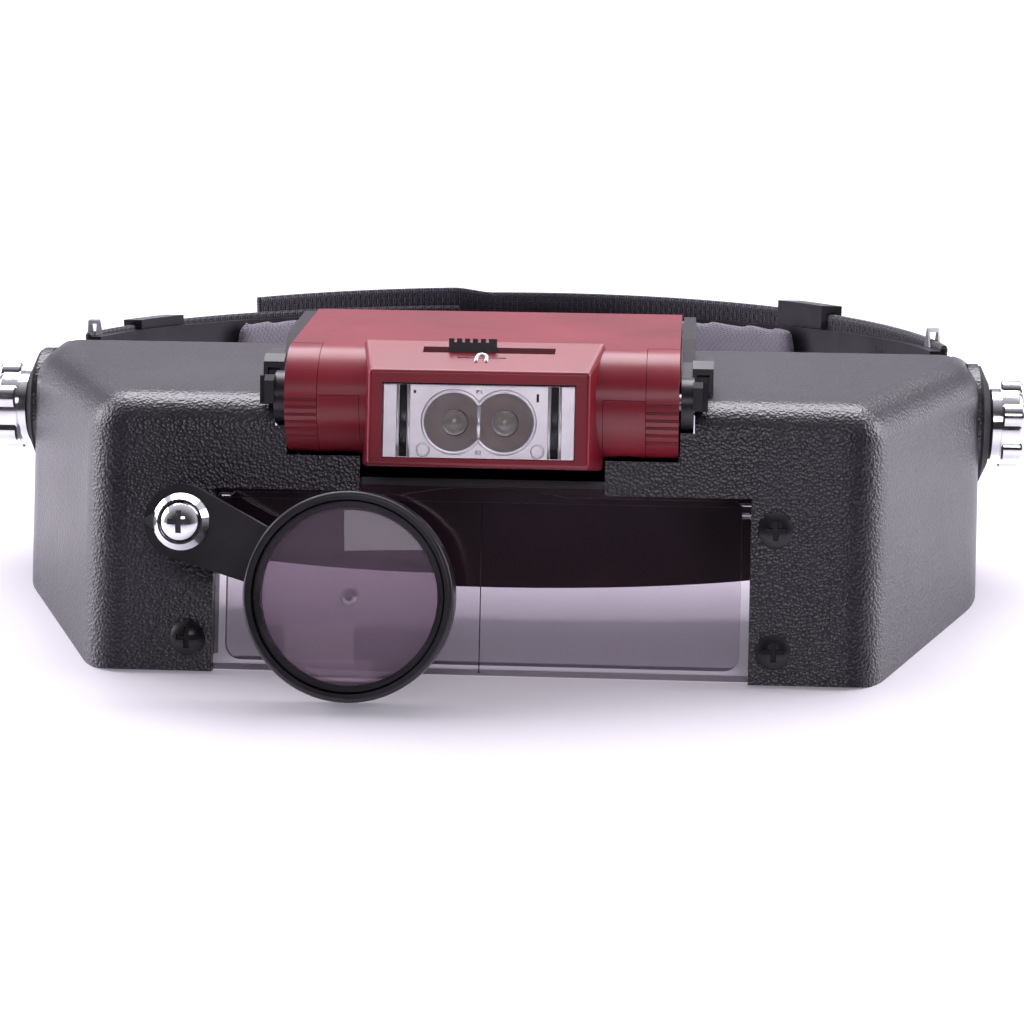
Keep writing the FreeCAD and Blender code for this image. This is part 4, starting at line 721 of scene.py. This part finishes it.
def make_lamp_details():
    """The reflector's rims, ribs, bosses and bumps, black strips of painted shade in its grooves and slots, and
    the pointer ahead of the switch with a black strip of painted shade in the groove there.
    """
    radius, half, mid = 5.75, 4.7, -4.0
    notch = math.degrees(math.acos(half / radius))
    right = arc(half, mid, radius, notch - 180, 180 - notch, 40)
    left = arc(-half, mid, radius, notch, 360 - notch, 40)
    cusp = math.sqrt(radius ** 2 - half ** 2)
    ridge("reflector_rims", [(right + left, True), ([(0, mid - cusp + 0.3), (0, mid + cusp - 0.3)], False)],
          0.75, 0.15, "reflector", on_plate)
    low, high, groove_shade_strips, edges = -10.6, 2.8, [], []
    for side in (-1, 1):
        groove_shade_strips.append(([(side * 14.1, low), (side * 14.1, high)], False))
        edges += [([(side * at, low), (side * at, high)], False) for at in (13.05, 15.15)]
    # Black strips of painted shade in the reflector's grooves, between the raised ribs.
    ridge("reflector_groove_shade", groove_shade_strips, 1.5, 0.06, "black_plastic", on_plate)
    ridge("reflector_ribs", edges, 0.5, 0.16, "reflector", on_plate)
    rings = [(arc(x, -9.3, 1.15, 0, 345, 23), True) for x in (-10.3, 11)]
    bumps = [([(x, z - 0.35), (x, z + 0.35)], False) for x, z in ((0, 1.6), (0, -9.6))]
    ridge("reflector_bosses", rings, 0.4, 0.14, "reflector", on_plate)
    ridge("reflector_bumps", bumps, 1.1, 0.17, "reflector", on_plate)
    # Black strips of painted shade in the reflector's slots.
    marks = [([(10.9, -0.1), (10.9, 1.4)], False), ([(-12, 1.2), (-12, 1.8)], False)]
    ridge("reflector_slot_shade", marks, 0.45, 0.07, "black_plastic", on_plate)
    pointer = [(-0.95, -70.3), (-0.95, -68.3)] + arc(0, -68.1, 0.95, 165, 15, 6)
    pointer += [(0.95, -68.3), (0.95, -70.3)]
    ridge("switch_pointer", [(pointer, False)], 0.7, 0.3, "reflector", on_head)
    # A black strip of painted shade in the groove ahead of the switch.
    ridge("switch_groove_shade", [([(-4.6, -68.6), (4.6, -68.6)], False)], 0.4, 0.05, "black_plastic", on_head)
    ridge("lens_seam", [([(0, -19.2), (0, -51.3)], False)], 0.22, 0.05, "black_plastic", on_lens, "visor")


# ---- stage, light and camera --------------------------------------------------------------------

def area_light(name, place, wide, tall, power, color):
    data = bpy.data.lights.new(name, "AREA")
    data.shape, data.size, data.size_y, data.energy, data.color = "RECTANGLE", wide, tall, power, color
    lamp = bpy.data.objects.new(name, data)
    lamp.location = place
    lamp.rotation_euler = (Vector(HEART) - Vector(place)).to_track_quat("-Z", "Y").to_euler()
    bpy.context.scene.collection.objects.link(lamp)


def make_stage():
    """A wide pale sweep: floor that curves up into a wall well behind the object."""
    wide, front, back, bend, tall = 6.0, -3.0, 1.6, 0.8, 3.0
    profile = [(front, 0.0), (back, 0.0)]
    profile += [(back + bend * math.sin(math.radians(turn)), bend * (1 - math.cos(math.radians(turn))))
                for turn in range(6, 91, 6)]
    profile.append((back + bend, tall))
    mesh = bpy.data.meshes.new("floor")
    corners = [(side * wide, y, z) for y, z in profile for side in (-1, 1)]
    faces = [(2 * i, 2 * i + 1, 2 * i + 3, 2 * i + 2) for i in range(len(profile) - 1)]
    mesh.from_pydata(corners, [], faces)
    mesh.polygons.foreach_set("use_smooth", [True] * len(mesh.polygons))
    floor = bpy.data.objects.new("floor", mesh)
    bpy.context.scene.collection.objects.link(floor)
    look = Look("floor", (0.80, 0.785, 0.83), 0.28, Specular_IOR_Level=0.4)
    look.shader.inputs["Emission Color"].default_value = (0.93, 0.90, 1.0, 1)
    look.shader.inputs["Emission Strength"].default_value = 0.20
    look.bump(look.noise(0.3, 1), 0.0002, 0.1)
    mesh.materials.append(look.material)


def make_world():
    """A pale surround to look at; it lights the object from behind and above, and hardly from the front."""
    world = bpy.data.worlds.new("surround")
    bpy.context.scene.world = world
    world.use_nodes = True
    tree = world.node_tree
    seen = tree.nodes["Background"]
    seen.inputs["Color"].default_value = (0.95, 0.935, 0.97, 1)
    lighting = tree.nodes.new("ShaderNodeBackground")
    direction = tree.nodes.new("ShaderNodeTexCoord")
    parts = tree.nodes.new("ShaderNodeSeparateXYZ")
    tree.links.new(direction.outputs["Generated"], parts.inputs[0])
    rearward = tree.nodes.new("ShaderNodeMapRange")
    rearward.interpolation_type = "SMOOTHSTEP"
    tree.links.new(parts.outputs["Y"], rearward.inputs["Value"])
    for socket, value in (("From Min", -0.75), ("From Max", 0.45), ("To Min", 0.035), ("To Max", 0.8)):
        rearward.inputs[socket].default_value = value
    tree.links.new(rearward.outputs[0], lighting.inputs["Strength"])
    lighting.inputs["Color"].default_value = (0.95, 0.92, 1.0, 1)
    path = tree.nodes.new("ShaderNodeLightPath")
    mix = tree.nodes.new("ShaderNodeMixShader")
    tree.links.new(path.outputs["Is Camera Ray"], mix.inputs[0])
    tree.links.new(lighting.outputs[0], mix.inputs[1])
    tree.links.new(seen.outputs[0], mix.inputs[2])
    tree.links.new(mix.outputs[0], tree.nodes["World Output"].inputs["Surface"])


def make_camera():
    azimuth, elevation, distance = math.radians(4.0), LEAN, 0.520
    aim = VISOR @ Vector((5.86 * MM, -62 * MM, -20.5 * MM))
    away = Vector((math.sin(azimuth) * math.cos(elevation), -math.cos(azimuth) * math.cos(elevation),
                   math.sin(elevation)))
    data = bpy.data.cameras.new("camera")
    data.lens, data.sensor_width, data.clip_start = 96.6, 36.0, 0.01
    camera = bpy.data.objects.new("camera", data)
    camera.location = aim + away * distance
    camera.rotation_euler = (-away).to_track_quat("-Z", "Y").to_euler()
    bpy.context.scene.collection.objects.link(camera)
    bpy.context.scene.camera = camera


make_straps()
make_pads()
make_lamp_details()
make_stage()
make_world()
make_camera()
HEART = (0, 0, 0.03)       # what every light aims at
LIGHTS = (                 # name, place, width, height, watts, colour
    ("key_top_back", (0.0, 0.60, 1.0), 1.5, 0.8, 23, (0.98, 0.94, 1.0)),
    ("side_left", (-0.95, 0.15, 0.35), 0.6, 0.6, 6, (0.96, 0.91, 1.0)),
    ("side_right", (0.95, 0.25, 0.35), 0.6, 0.6, 5.5, (0.96, 0.91, 1.0)),
    ("front_fill", (0.1, -1.3, 0.85), 0.7, 0.4, 2.8, (0.97, 0.91, 1.0)),
)
for light in LIGHTS:
    area_light(*light)
bpy.context.scene.view_settings.view_transform = "Standard"
